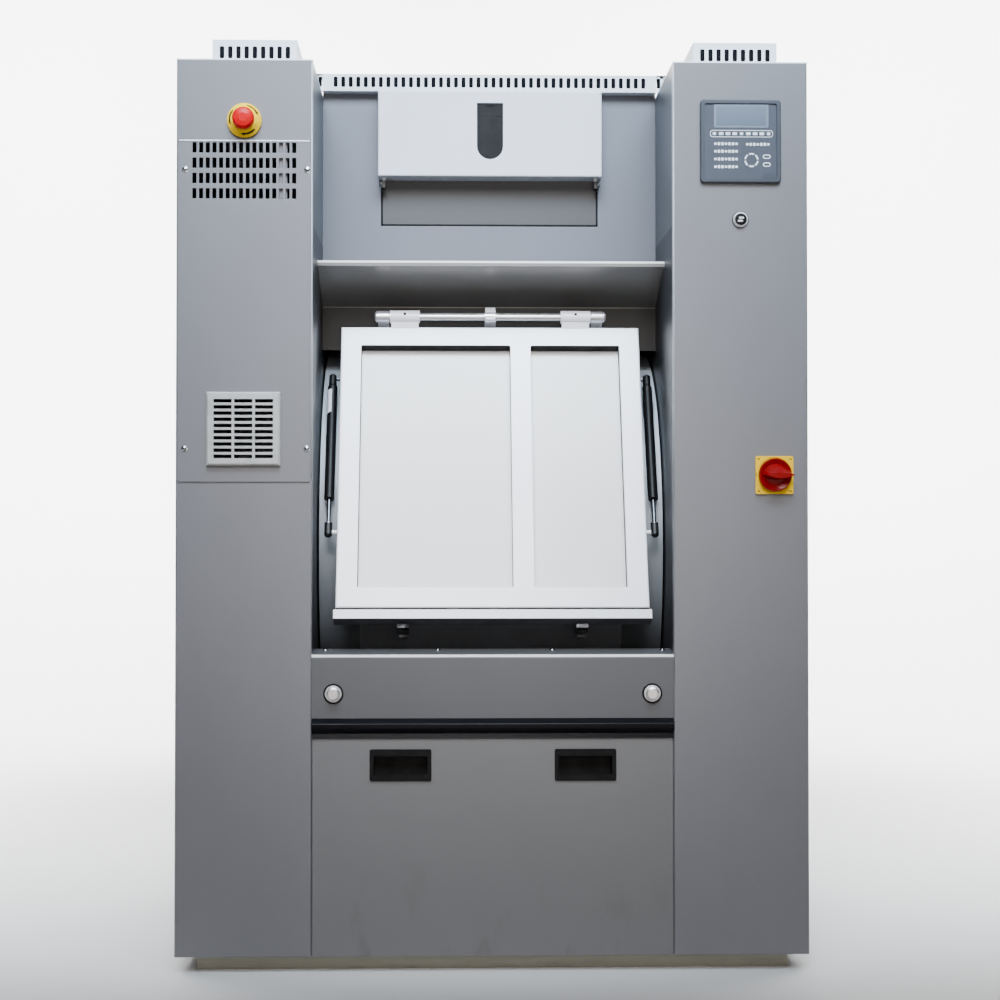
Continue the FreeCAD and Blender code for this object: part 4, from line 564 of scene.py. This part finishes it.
lathe(face_disc, neck + [(ring_out + up, radius) for up, radius in DISC_EDGE],
      (lock_x, barrel_low.y, lock_z), spokes=40)
# The black seat ring also stands as painted shade round the bright ring.
lathe(seat_shade_ring, SEAT_SHADE_RING, (lock_x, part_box("right_front_panel")[0].y, lock_z), spokes=40)
for side in (-1, 1):
    plate(guard, lock_x + side * GUARD_ASIDE, lock_z + side * GUARD_UP, *GUARD, GUARD_CORNER, ring_y - GUARD_OUT)
piece("lock_face_disc", face_disc, lock_black, "key_barrel")
piece("lock_seat_shade_ring", seat_shade_ring, lock_black, "cabinet")
panel_piece("keyway_guard", guard, ring_chrome, "key_barrel", GUARD_THICK, GUARD_SOFT)


# Main switch: a red handle that turns on a yellow plate, screwed through the right column's front.
# Moulded plastic with a soft shine; plain dark ticks round a low raised rim show the positions.
handle_red = gloss_plastic("handle_red_plastic", srgb(128, 2, 8), 0.22, 0.06)
dress(signal_yellow, "main_switch_plate")
dress(handle_red, "main_switch_knob")
RIM_RADIUS, RIM_WIDE, RIM_LOW, RIM_HIGH = 0.0405, 0.0013, 0.0003, 0.0016
TICK, TICK_REACH, REST_TICK, REST_REACH, TICK_CORNER = (0.0062, 0.0022), 1.2, (0.0024, 0.009), 0.955, 0.0005
plate_low, plate_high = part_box("main_switch_plate")
plate_x, plate_z = middle(plate_low, plate_high)
plate_half = (plate_high.x - plate_low.x) / 2
ticks, rim = bmesh.new(), bmesh.new()
plate(ticks, plate_x - plate_half * REST_REACH, plate_z, *REST_TICK, TICK_CORNER, plate_low.y - PRINT)
reach = plate_half * TICK_REACH
for angle in map(math.radians, (45, 135, 225, 315)):
    plate(ticks, plate_x + reach * math.cos(angle), plate_z + reach * math.sin(angle), *TICK, TICK_CORNER,
          plate_low.y - PRINT)
lathe(rim, [(RIM_LOW, RIM_RADIUS), (RIM_HIGH, RIM_RADIUS), (RIM_HIGH, RIM_RADIUS - RIM_WIDE),
            (RIM_LOW, RIM_RADIUS - RIM_WIDE)], (plate_x, plate_low.y, plate_z), spokes=56)
panel_piece("switch_ticks", ticks, print_black, "cabinet", -PRINT)
piece("switch_rim", rim, signal_yellow, "cabinet")


# Bridge: the sheet-steel front and back high between the columns, spot-welded to the inner walls.
# The columns' powder coat, painted darker and bluer as painted shade under the roof strip.
# Darker and bluer as painted shade under the roof strip.
shaded_bridge_paint = powder_coat("shaded_bridge_powder_coat", srgb(101, 105, 115), COLUMN_GLOSS, COLUMN_PEEL)
dress(shaded_bridge_paint, "bridge_front_panel", "bridge_back_panel")


# Hoods: the visors over the two loading doors, folded from polished stainless steel.
# Dark satin polish with long faint lines, so the hinge rod shows blurred in it; a painted highlight runs along the
# front fold, and the skirt below the bridge's front is painted nearly black as painted shade behind the hinge.
HOOD_STEEL, HOOD_SMEAR, SKIRT_SHADE = srgb(137, 136, 134), srgb(126, 125, 124), srgb(44, 44, 45)
HOOD_FOLD_HIGHLIGHT, FOLD_TALL, FOLD_FADE, SKIRT_DROP, SKIRT_FADE = srgb(244, 245, 247), 0.005, 0.0005, 0.004, 0.001
hood_steel, place = new_finish("polished_hood_steel", {"Specular IOR Level": 0.2})
fold_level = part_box("front_hood")[1].z - FOLD_TALL
skirt_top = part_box("bridge_front_panel")[0].z - SKIRT_DROP
# A painted highlight along the front fold, and painted shade on the skirt behind the hinge.
edge = place.axis("Z").ramp(fold_level, fold_level + FOLD_FADE)
skirt = 1 - place.axis("Z").ramp(skirt_top - SKIRT_FADE, skirt_top)
lines = place.noise(900, 2, (0.02, 1, 1))
smear = place.noise(9, 3, (0.5, 1, 1))
sheet = skirt.tint(smear.tint(HOOD_STEEL, HOOD_SMEAR), SKIRT_SHADE)
feed(hood_steel, Base_Color=edge.tint(sheet, HOOD_FOLD_HIGHLIGHT), Roughness=0.17 + smear * 0.06 + skirt * 0.12,
     Metallic=(1 - edge) * (0.22 - skirt * 0.14), Normal=lines.bump(0.02, 0.0002))
dress(hood_steel, "front_hood", "back_hood")


# Soap dispenser: a sheet-steel box let into the bridge, closed by a flap that tips forward on two pins.
# Dark powder coat on the box, a smooth pale one on the flap above its dark lugs, near-black strips round the opening
# below the flap as painted shade in the gap between box and bridge; the paddle pull is moulded dark plastic.
FLAP_PALE, FLAP_GLOSS, FLAP_PEEL, LUG_DARK = srgb(218, 221, 231), 0.26, 0.08, srgb(34, 34, 36)
LUG_TALL, LUG_FADE, GAP_SHADE_WIDE, GAP_SHADE_OUT, GAP_SHADE_RISE = 0.018, 0.001, 0.0042, 0.0006, 0.004
dress(powder_coat("dispenser_coat", srgb(62, 63, 67), 0.34, 0.1), "dispenser_box")
flap_paint = powder_coat("flap_powder_coat", FLAP_PALE, FLAP_GLOSS, FLAP_PEEL)
place, paint = reopen(flap_paint)
flap_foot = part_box("dispenser_flap")[0].z
lug_level = flap_foot + LUG_TALL
feed(flap_paint, Base_Color=place.axis("Z").ramp(lug_level - LUG_FADE, lug_level).tint(LUG_DARK, paint))
dress(flap_paint, "dispenser_flap")
dress(satin_plastic("paddle_plastic", srgb(11, 12, 18), 0.46), "dispenser_pull")
# Near-black strips round the dispenser's opening: painted shade in the gap between box and bridge.
shade_strip_black = satin_plastic("shade_strip_black", srgb(9, 9, 11), 0.6)
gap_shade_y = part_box("bridge_front_panel")[0].y
tank_low, tank_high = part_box("dispenser_box")
gap_shade = bmesh.new()
for x in (tank_low.x, tank_high.x - GAP_SHADE_WIDE):
    slab(gap_shade, (x, gap_shade_y - GAP_SHADE_OUT, tank_low.z), (x + GAP_SHADE_WIDE, gap_shade_y, flap_foot + GAP_SHADE_RISE))
slab(gap_shade, (tank_low.x, gap_shade_y - GAP_SHADE_OUT, tank_low.z), (tank_high.x, gap_shade_y, tank_low.z + GAP_SHADE_WIDE))
piece("dispenser_gap_shade", gap_shade, shade_strip_black, "cabinet")


# Sill: the folded steel front under the loading door, with a ledge that four small screws hold down.
# Dark grey powder coat, brighter in patches along the top fold, partly from rubbing where laundry slides over it and
# partly as painted highlight, with a bright painted highlight line on its edge.
SILL_GREY, SILL_RUBBED_HIGHLIGHT, SILL_EDGE_HIGHLIGHT = srgb(85, 86, 90), srgb(140, 142, 146), srgb(252, 253, 255)
sill_low, sill_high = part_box("sill_panel")
sill_paint, place = new_finish("sill_powder_coat", {"Specular IOR Level": 0.5})


def at_fold(place, below, above, near, far):
    """1 at the sill's top front fold: fades between two depths below its top and two depths behind its front."""
    return (place.axis("Z").ramp(sill_high.z - below, sill_high.z - above)
            * (1 - place.axis("Y").ramp(sill_low.y + near, sill_low.y + far)))


skin = place.noise(760, 2)
haze = place.noise(6, 3, (1, 1, 0.5))
# Brighter patches on the fold are part wear, part painted highlight; the crisp edge line is a painted highlight.
rubbed_and_highlight = at_fold(place, 0.019, 0.0095, 0.001, 0.012) * place.noise(40, 4, (0.15, 1, 1)).ramp(0.3, 0.62)
sill_edge_highlight = at_fold(place, 0.0148, 0.0142, 0.0012, 0.0016)
coat = rubbed_and_highlight.tint(haze.tint(SILL_GREY, shade(SILL_GREY, 0.93)), SILL_RUBBED_HIGHLIGHT)
feed(sill_paint, Base_Color=sill_edge_highlight.tint(coat, SILL_EDGE_HIGHLIGHT), Roughness=0.33 + haze * 0.08 - rubbed_and_highlight * 0.08,
     Normal=skin.bump(0.12, 0.0003))
dress(sill_paint, "sill_panel")
LEDGE_RISE, LEDGE_DEEP, SCREW_BACK, SCREW_DROP = 0.009, 0.082, 0.062, 0.0022
ledge_screws = bmesh.new()
for x in (-0.373, -0.122, 0.134, 0.381):
    pan_head(ledge_screws, (x, sill_low.y + SCREW_BACK, sill_high.z - SCREW_DROP), (0, -LEDGE_RISE, LEDGE_DEEP))
piece("ledge_screws", ledge_screws, zinc, "cabinet")


# Push buttons: two spring-loaded caps in the sill, each in a bright screwed bezel with a dark gasket.
# Brushed cap faces, chrome bezels, black rubber gaskets.
def brushed_steel(name, colour, rough, along):
    """Stainless sheet brushed along one axis, with cloudy patches left by wiping."""
    material, place = new_finish(name, {"Metallic": 1.0})
    brush = place.noise(1500, 3, tuple(0.012 if axis == along else 1 for axis in "XYZ"))
    cloud = place.noise(7, 4)
    feed(material, Base_Color=cloud.ramp(0.3, 0.7).tint(colour, shade(colour, 0.9)),
         Roughness=rough + brush * 0.14 + cloud * 0.06, Normal=brush.bump(0.12, 0.0002))
    return material


BUTTONS, BORE = ("left_push_button", "right_push_button"), 0.0156
GASKET = [(0, BORE), (0, 0.0224), (0.0014, 0.0221), (0.0016, BORE)]
BEZEL = [(0.0013, BORE), (0.0013, 0.0186), (0.0045, 0.0183), (0.0062, 0.0172), (0.0062, BORE)]
dress(brushed_steel("button_cap_steel", srgb(232, 228, 230), 0.34, "X"), *BUTTONS)
gasket_rubber = satin_plastic("gasket_rubber", srgb(11, 11, 13), 0.62)
bezels, gaskets = bmesh.new(), bmesh.new()
for node in BUTTONS:
    x, z = middle(*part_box(node))
    lathe(gaskets, GASKET, (x, sill_low.y, z), spokes=48)
    lathe(bezels, BEZEL, (x, sill_low.y, z), spokes=48)
piece("button_gaskets", gaskets, gasket_rubber, "cabinet")
piece("button_bezels", bezels, ring_chrome, "cabinet")


# Bumper: a ribbed rail across the front that takes the knocks of laundry carts, pressed on a steel strip.
# Black moulded plastic with a soft sheen, scuffed along the front of its ribs.
SCRAPE_FULL, SCRAPE_END = 0.001, 0.007
bumper_plastic, place = new_finish("bumper_plastic", {"Specular IOR Level": 0.12})
nose_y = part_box("bumper_rail")[0].y
grain = place.noise(800, 2)
scrape = (place.noise(22, 5, (0.08, 1, 1)).ramp(0.52, 0.76)
          * (1 - place.axis("Y").ramp(nose_y + SCRAPE_FULL, nose_y + SCRAPE_END)))
feed(bumper_plastic, Base_Color=scrape.tint(srgb(7, 8, 14), srgb(20, 20, 25)),
     Roughness=0.26 + grain * 0.08 + scrape * 0.3, Normal=grain.bump(0.15, 0.0003))
dress(bumper_plastic, "bumper_rail")


# Lower panels: the lift-off front under the bumper, and the like panel at the back on four screws.
# Grey powder coat, duller than the columns, with faint shoe marks near the floor.
LOWER_GREY, SHOE_MARK, SHOE_FULL, SHOE_END = srgb(110, 110, 112), srgb(92, 91, 90), 0.04, 0.26
lower_paint, place = new_finish("lower_powder_coat", {"Specular IOR Level": 0.45})
skin = place.noise(760, 2)
haze = place.noise(5, 3)
shoe = place.noise(16, 5, (1, 1, 0.4)).ramp(0.58, 0.8) * (1 - place.axis("Z").ramp(SHOE_FULL, SHOE_END))
feed(lower_paint, Base_Color=shoe.tint(haze.tint(LOWER_GREY, shade(LOWER_GREY, 0.94)), SHOE_MARK),
     Roughness=0.36 + haze * 0.1 + shoe * 0.15, Normal=skin.bump(0.13, 0.0003))
dress(lower_paint, "lower_front_panel", "back_lower_panel")
BACK_ASIDE, BACK_INSET = 0.03, 0.045
back_low, back_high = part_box("back_lower_panel")
back_screws = bmesh.new()
for x in (back_low.x + BACK_ASIDE, back_high.x - BACK_ASIDE):
    for z in (back_low.z + BACK_INSET, back_high.z - BACK_INSET):
        pan_head(back_screws, (x, back_high.y, z), (0, 1, 0))
piece("back_panel_screws", back_screws, zinc, "cabinet")


# Cup handles: two moulded cups let into the lower panel, each with a grip lip at its top.
# Black polypropylene with a matt spark finish, polished in patches by fingers.
dress(satin_plastic("cup_plastic", srgb(12, 13, 15), 0.5, 900), "cup_handles")


# Tub and collars: rolled and pressed stainless steel, welded, with a flat collar round each loading opening.
# Sheet brushed along the barrel, blasted caps and satin collars, all with a blue-grey cast; the caps and collars are
# painted darker towards the bottom as painted shade.
dress(brushed_steel("tub_steel", srgb(158, 163, 170), 0.4, "X"), "tub_lower_shell", "tub_upper_shell")
cap_steel, place = new_finish("blasted_cap_steel", {"Metallic": 0.15, "Specular IOR Level": 0.5})
blast = place.noise(1700, 2)
# Caps and collars get darker towards the bottom as painted shade.
low_shade_ramp = (place.noise(8, 4) * 0.12 + place.axis("Z")).ramp(0.72, 1.28)
feed(cap_steel, Base_Color=low_shade_ramp.tint(srgb(30, 31, 34), srgb(176, 187, 199)), Roughness=0.46 + blast * 0.16,
     Normal=blast.bump(0.2, 0.0002))
dress(cap_steel, "tub_left_cap", "tub_right_cap")
collar_steel, place = new_finish("collar_steel", {"Metallic": 0.55, "Specular IOR Level": 0.5})
brush = place.noise(1300, 3, (1, 0.05, 0.05))
low_shade_ramp = (place.noise(6, 3) * 0.1 + place.axis("Z")).ramp(0.7, 1.3)
feed(collar_steel, Base_Color=low_shade_ramp.tint(srgb(22, 22, 25), srgb(104, 108, 117)), Roughness=0.38 + brush * 0.12,
     Normal=brush.bump(0.1, 0.0002))
dress(collar_steel, "front_collar", "back_collar")


# Door seal: the rubber frame that the loading door presses on, glued to the collar.
# Soft grey-black rubber with a faint bloom.
seal_rubber, place = new_finish("seal_rubber", {"Specular IOR Level": 0.35})
bloom = place.noise(48, 4)
pores = place.noise(1200, 2)
feed(seal_rubber, Base_Color=bloom.tint(srgb(38, 38, 40), srgb(58, 57, 57)), Roughness=0.6 + bloom * 0.2,
     Normal=pores.bump(0.25, 0.0003))
dress(seal_rubber, "front_door_seal")


# Drum: a perforated stainless shell with two end plates and a hatch of two leaves.
# Punched all over in staggered rows of holes about five millimetres wide, drawn as near-black dots of painted shade,
# bright inside from the wash.
HOLE_PITCH, HOLE_RADIUS, HOLE_SHADE = 0.014, 0.0027, (0.01, 0.01, 0.012)
drum_steel, place = new_finish("punched_drum_steel", {})
drum_low, drum_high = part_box("drum_shell")
axis_level = (drum_low.z + drum_high.z) / 2
around = place.sum("ARCTAN2", place.axis("Y"), place.axis("Z") - axis_level) * (drum_high.y / HOLE_PITCH)
row = place.sum("FLOOR", around)
column = place.axis("X") * (1 / HOLE_PITCH) + place.sum("MODULO", row, 2.0) * 0.5
across = (column - place.sum("FLOOR", column) - 0.5) * HOLE_PITCH
down = (around - row - 0.5) * HOLE_PITCH
# Holes are near-black dots of painted shade.
hole = place.sum("SQRT", across * across + down * down) < HOLE_RADIUS
lustre = place.noise(900, 3, (0.03, 1, 1))
feed(drum_steel, Base_Color=hole.tint(lustre.tint(srgb(190, 191, 193), srgb(172, 174, 177)), HOLE_SHADE),
     Metallic=1 - hole, Roughness=0.26 + lustre * 0.14 + hole * 0.4)
dress(drum_steel, "drum_shell", "hatch_upper_leaf", "hatch_lower_leaf")
dress(brushed_steel("drum_end_steel", srgb(186, 187, 190), 0.28, "Z"), "drum_left_end", "drum_right_end")


# Drive: cast bearing housings and pulleys, the motor under the tub and its belt, all inside the cabinet.
# Machined cast iron, black stove enamel on the motor, and ribbed rubber.
cast_iron, place = new_finish("cast_iron", {"Metallic": 0.8})
sand = place.noise(320, 5)
oil = place.noise(14, 3).ramp(0.45, 0.7)
feed(cast_iron, Base_Color=oil.tint(srgb(98, 98, 101), srgb(66, 64, 62)), Roughness=0.5 - oil * 0.16 + sand * 0.15,
     Normal=sand.bump(0.35, 0.0006))
dress(cast_iron, "bearing_housings", "drum_pulley", "motor_pulley")
dress(powder_coat("motor_enamel", srgb(40, 42, 46), 0.34, 0.2), "drive_motor")
belt_rubber, place = new_finish("belt_rubber", {"Specular IOR Level": 0.3})
cords = place.noise(600, 2, (1, 0.05, 0.05))
dusting = place.noise(30, 3)
feed(belt_rubber, Base_Color=dusting.tint(srgb(30, 30, 31), srgb(52, 51, 50)), Roughness=0.62 + dusting * 0.2,
     Normal=cords.bump(0.4, 0.0005))
dress(belt_rubber, "drive_belt")


# Loading doors: pressed steel shells with two sunk panes, a stainless liner inside and a channel pull below.
# Smooth near-white coat on the front door, a shade greyer in the panes; near-black strips along the top and the
# sides of the panes and above the pull are painted shade in their recesses, and the pull's lower edge is painted
# dark as painted shade.
DOOR_WHITE, PANE_WHITE, LEAN, SUNK_FULL, SUNK_END = (
    srgb(244, 244, 251), srgb(206, 205, 204), math.radians(21.5), 0.522, 0.526)
door_coat, place = new_finish("door_coat", {"Coat Weight": 0.25, "Coat Roughness": 0.18, "Specular IOR Level": 0.5})
out = (place.axis("Z") - axis_level) * math.sin(LEAN) - place.axis("Y") * math.cos(LEAN)
sunk = 1 - out.ramp(SUNK_FULL, SUNK_END)
cloud = place.noise(4, 3)
peel = place.noise(700, 2)
feed(door_coat, Base_Color=sunk.tint(cloud.tint(DOOR_WHITE, shade(DOOR_WHITE, 0.97)), PANE_WHITE),
     Roughness=0.24 + cloud * 0.1 + sunk * 0.08, Normal=peel.bump(0.06, 0.0003))
dress(door_coat, "front_door_shell")

DOOR_FACE, PANE_OUT, PANE_TOP, PANE_LOW, PANES = 0.545, 0.519, 0.298, -0.307, ((-0.303, 0.047), (0.094, 0.303))
TOP_SINK, TOP_TALL, SIDE_DEEP, SIDE_WIDE = 0.0006, 0.0016, 0.0075, 0.0012
FOOT_HALF, FOOT_SINK, FOOT_DEEP, FOOT_LOW, FOOT_HIGH = 0.349, 0.001, 0.012, -0.3606, -0.3552
# Near-black strips at the panes' top and sides and above the pull are painted shade in the recesses.
strips = bmesh.new()
for left, right in PANES:
    slab(strips, (left, TOP_SINK - DOOR_FACE, PANE_TOP - TOP_TALL), (right, -PANE_OUT, PANE_TOP))
    for x in (left, right - SIDE_WIDE):
        slab(strips, (x, -PANE_OUT - SIDE_DEEP, PANE_LOW), (x + SIDE_WIDE, -PANE_OUT, PANE_TOP))
slab(strips, (-FOOT_HALF, FOOT_SINK - DOOR_FACE, FOOT_LOW), (FOOT_HALF, FOOT_DEEP - DOOR_FACE, FOOT_HIGH))
tilt = Matrix.Rotation(-LEAN, 4, "X")
bmesh.ops.transform(strips, matrix=Matrix.Translation((0, 0, axis_level)) @ tilt, verts=strips.verts[:])
back_strips = strips.copy()
bmesh.ops.transform(back_strips, matrix=Matrix.Diagonal((1, -1, 1, 1)), verts=back_strips.verts[:])
piece("pane_shade_strips", strips, shade_strip_black, "front_door")
piece("back_pane_shade_strips", back_strips, shade_strip_black, "back_door")

# The pull's lower edge is painted dark grey as painted shade.
PULL_FOOT, PULL_FADE, PULL_SHADE = -0.3822, 0.0006, srgb(64, 64, 68)
pull_coat, place = new_finish("pull_coat", {"Specular IOR Level": 0.5})
up = place.axis("Y") * math.sin(LEAN) + (place.axis("Z") - axis_level) * math.cos(LEAN)
pull_foot_shade = 1 - up.ramp(PULL_FOOT, PULL_FOOT + PULL_FADE)
wiped = place.noise(7, 3, (0.4, 1, 1))
feed(pull_coat, Base_Color=pull_foot_shade.tint(wiped.tint(srgb(230, 232, 240), srgb(222, 225, 233)), PULL_SHADE),
     Roughness=0.24 + wiped * 0.08 + pull_foot_shade * 0.2, Normal=place.noise(700, 2).bump(0.06, 0.0003))
dress(pull_coat, "front_door_pull")
dress(powder_coat("back_door_coat", srgb(226, 227, 231), 0.28, 0.08), "back_door")
dress(brushed_steel("liner_steel", srgb(188, 190, 193), 0.3, "X"), "front_door_liner")


# Hinges: a ground rod carried by arms on the collar, running through the door's two knuckles.
# Nickel-plated rod and arms; a white-coated clamp holds the rod at the middle, and a set screw pins each knuckle.
def joint(name):
    """What the frame says about a joint."""
    return next(entry for entry in frame["joints"] if entry["name"] == name)


CLAMP_LOW, CLAMP_HIGH, CLAMP_SOFT = (-0.012, -0.0125, -0.013), (0.012, 0.0125, 0.019), 0.0012
KNUCKLES, KNUCKLE_OUT = (-0.201, 0.201), 0.0149
SET_SCREW = [(0, 0.0033), (0.0003, 0.0033), (0.0003, 0.0016), (0.00015, 0)]
hinge_steel, place = new_finish("hinge_nickel", {"Specular IOR Level": 0.6})
touch = place.noise(60, 3)
feed(hinge_steel, Base_Color=touch.tint(srgb(214, 213, 217), srgb(196, 195, 199)), Roughness=0.22 + touch * 0.06,
     Metallic=0.6 + touch * 0.1)
dress(hinge_steel, "front_hinge", "back_hinge")
hinge_point = Vector(joint("front_door_hinge")["pos_m"])
clamp, set_screws = bmesh.new(), bmesh.new()
slab(clamp, CLAMP_LOW, CLAMP_HIGH)
bmesh.ops.transform(clamp, matrix=Matrix.Translation(hinge_point) @ tilt, verts=clamp.verts[:])
facing = Vector((0, -math.cos(LEAN), math.sin(LEAN)))
for x in KNUCKLES:
    lathe(set_screws, SET_SCREW, hinge_point + Vector((x, 0, 0)) + facing * KNUCKLE_OUT, facing, 20)
piece("hinge_clamp", clamp, pull_coat, "cabinet", CLAMP_SOFT)
piece("knuckle_set_screws", set_screws, gasket_rubber, "front_door")


# Gas struts: black tubes with moulded end fittings, hung on ball studs beside the door; bright piston rods.
# Satin stove enamel on the tubes, hard chrome on the rods above their black fittings; the left tube carries a plain
# pale foil.
strut_enamel, place = new_finish("strut_enamel", {"Specular IOR Level": 0.22})
wipe = place.noise(26, 3)
feed(strut_enamel, Base_Color=wipe.tint(srgb(8, 8, 10), srgb(15, 15, 17)), Roughness=0.34 + wipe * 0.14)
dress(strut_enamel, "strut_tubes")
TUBE_RADIUS, FOIL_START, FOIL_END, FOIL_SLANT, FOIL_OUT, FOIL_THICK = 0.0115, 0.034, 0.095, 0.0035, 0.00012, 0.0001
strut_line = Vector(joint("strut_stroke")["axis"]).normalized()
tube_top = Vector(joint("strut_swing")["pos_m"])
tube_top.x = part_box("strut_tubes")[0].x + TUBE_RADIUS
sideways = Vector((1, 0, 0))
front = strut_line.cross(sideways)
front = front if front.y < 0 else -front
foil = bmesh.new()
wrap = [math.radians(angle) for angle in range(4, 181, 8)]
band(foil, *([foil.verts.new(tube_top + strut_line * (start + slant * a) + (TUBE_RADIUS + FOIL_OUT)
                             * (front * math.cos(a) - sideways * math.sin(a))) for a in wrap]
             for start, slant in ((FOIL_START, 0.0), (FOIL_END, FOIL_SLANT))))
foil.normal_update()
bmesh.ops.solidify(foil, geom=foil.faces[:], thickness=FOIL_THICK)
foil_coat = powder_coat("foil_coat", FLAP_PALE, FLAP_GLOSS, FLAP_PEEL)
piece("strut_foil", foil, foil_coat, "strut_tubes")
FITTING_TALL, FITTING_FADE = 0.034, 0.0005
strut_rod, place = new_finish("strut_rod_chrome", {})
fitting_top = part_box("strut_rods")[0].z + FITTING_TALL
fitting = 1 - place.axis("Z").ramp(fitting_top, fitting_top + FITTING_FADE)
oil = place.noise(120, 3)
feed(strut_rod, Base_Color=fitting.tint(oil.tint(srgb(104, 107, 112), srgb(80, 82, 87)), srgb(9, 9, 11)),
     Metallic=1 - fitting, Roughness=0.18 + oil * 0.1 + fitting * 0.25)
dress(strut_rod, "strut_rods")


# Door latches: two swinging hooks in ears on the collar, each with a roller that the door rides over.
# Zinc-dipped steel blackened by grease.
latch_steel, place = new_finish("latch_steel", {"Metallic": 0.85})
grease = place.noise(60, 4).ramp(0.35, 0.65)
pits = place.noise(500, 3)
feed(latch_steel, Base_Color=grease.tint(srgb(92, 94, 98), srgb(34, 34, 36)), Roughness=0.36 + grease * 0.2,
     Normal=pits.bump(0.3, 0.0004))
dress(latch_steel, "door_latches")


# Floor, light and camera: a plain pale studio floor that rises behind the machine, soft light from high in front,
# and the view of someone who stands in front of the loading door, a little to its left.
FLOOR_HALF, FLOOR_NEAR, FLOOR_FAR, SWEEP, WALL_TOP = 14.0, -9.0, 5.0, 3.0, 11.0
profile = [(FLOOR_NEAR, 0.0), (FLOOR_FAR, 0.0)]
for angle in map(math.radians, range(6, 91, 6)):
    profile.append((FLOOR_FAR + SWEEP * math.sin(angle), SWEEP * (1 - math.cos(angle))))
profile.append((FLOOR_FAR + SWEEP, WALL_TOP))
floor_mesh = bmesh.new()
band(floor_mesh, *([floor_mesh.verts.new((side * FLOOR_HALF, y, z)) for y, z in profile] for side in (1, -1)))
floor_data = bpy.data.meshes.new("studio_floor")
floor_mesh.to_mesh(floor_data)
floor_mesh.free()
floor_data.shade_smooth()
studio_floor = bpy.data.objects.new("studio_floor", floor_data)
bpy.context.collection.objects.link(studio_floor)
floor_paper, place = new_finish("floor_paper", {"Specular IOR Level": 0.2})
fibre = place.noise(3, 3)
feed(floor_paper, Base_Color=fibre.tint((0.9, 0.9, 0.9), (0.88, 0.88, 0.88)), Roughness=0.7 + fibre * 0.1)
floor_data.materials.append(floor_paper)

world = bpy.data.worlds.new("studio")
bpy.context.scene.world = world
world.use_nodes = True
world.node_tree.nodes["Background"].inputs["Color"].default_value = (1.0, 0.97, 0.95, 1)
world.node_tree.nodes["Background"].inputs["Strength"].default_value = 0.05


def soft_box(name, place, target, size, watts, colour, spread):
    """Area light, wide by tall, that looks at a point; its beam is as many degrees wide as its spread."""
    lamp = bpy.data.lights.new(name, "AREA")
    lamp.shape, lamp.energy, lamp.color, lamp.spread = "RECTANGLE", watts, colour, math.radians(spread)
    lamp.size, lamp.size_y = size
    made = bpy.data.objects.new(name, lamp)
    made.location = place
    made.rotation_euler = (Vector(target) - Vector(place)).to_track_quat("-Z", "Y").to_euler()
    bpy.context.collection.objects.link(made)


COOL, NEUTRAL, WARM, WHITE = (0.71, 0.86, 1.0), (1.0, 0.98, 0.98), (1.0, 0.92, 0.82), (1.0, 1.0, 1.0)
soft_box("key_light", (0.08, -1.8, 3.1), (0, -0.67, 2.05), (2.6, 0.7), 38, COOL, 70)
soft_box("door_light", (-0.2, -3.4, 3.0), (0, -0.5, 1.05), (1.2, 1.2), 9, NEUTRAL, 38)
soft_box("fill_light", (0.2, -5.2, 1.3), (0, -0.4, 1.2), (1.6, 1.6), 9, WARM, 80)
for side in (-1, 1):
    soft_box("backdrop_light", (side * 3.4, 2.6, 5.5), (side * 3.0, 8.0, 2.4), (3.0, 3.0), 1200, WHITE, 120)
    soft_box("floor_light", (side * 3.8, 2.2, 4.2), (side * 3.6, 2.0, 0.0), (2.4, 2.4), 260, WHITE, 90)

EYE, LENS, SENSOR, PITCH, YAW = (-0.105, -5.17, 0.95), 73.3, 36.0, 91.125, -1.53
camera = bpy.data.objects.new("camera", bpy.data.cameras.new("camera"))
camera.data.lens, camera.data.sensor_width = LENS, SENSOR
camera.location = EYE
camera.rotation_euler = (math.radians(PITCH), 0, math.radians(YAW))
bpy.context.collection.objects.link(camera)
bpy.context.scene.camera = camera
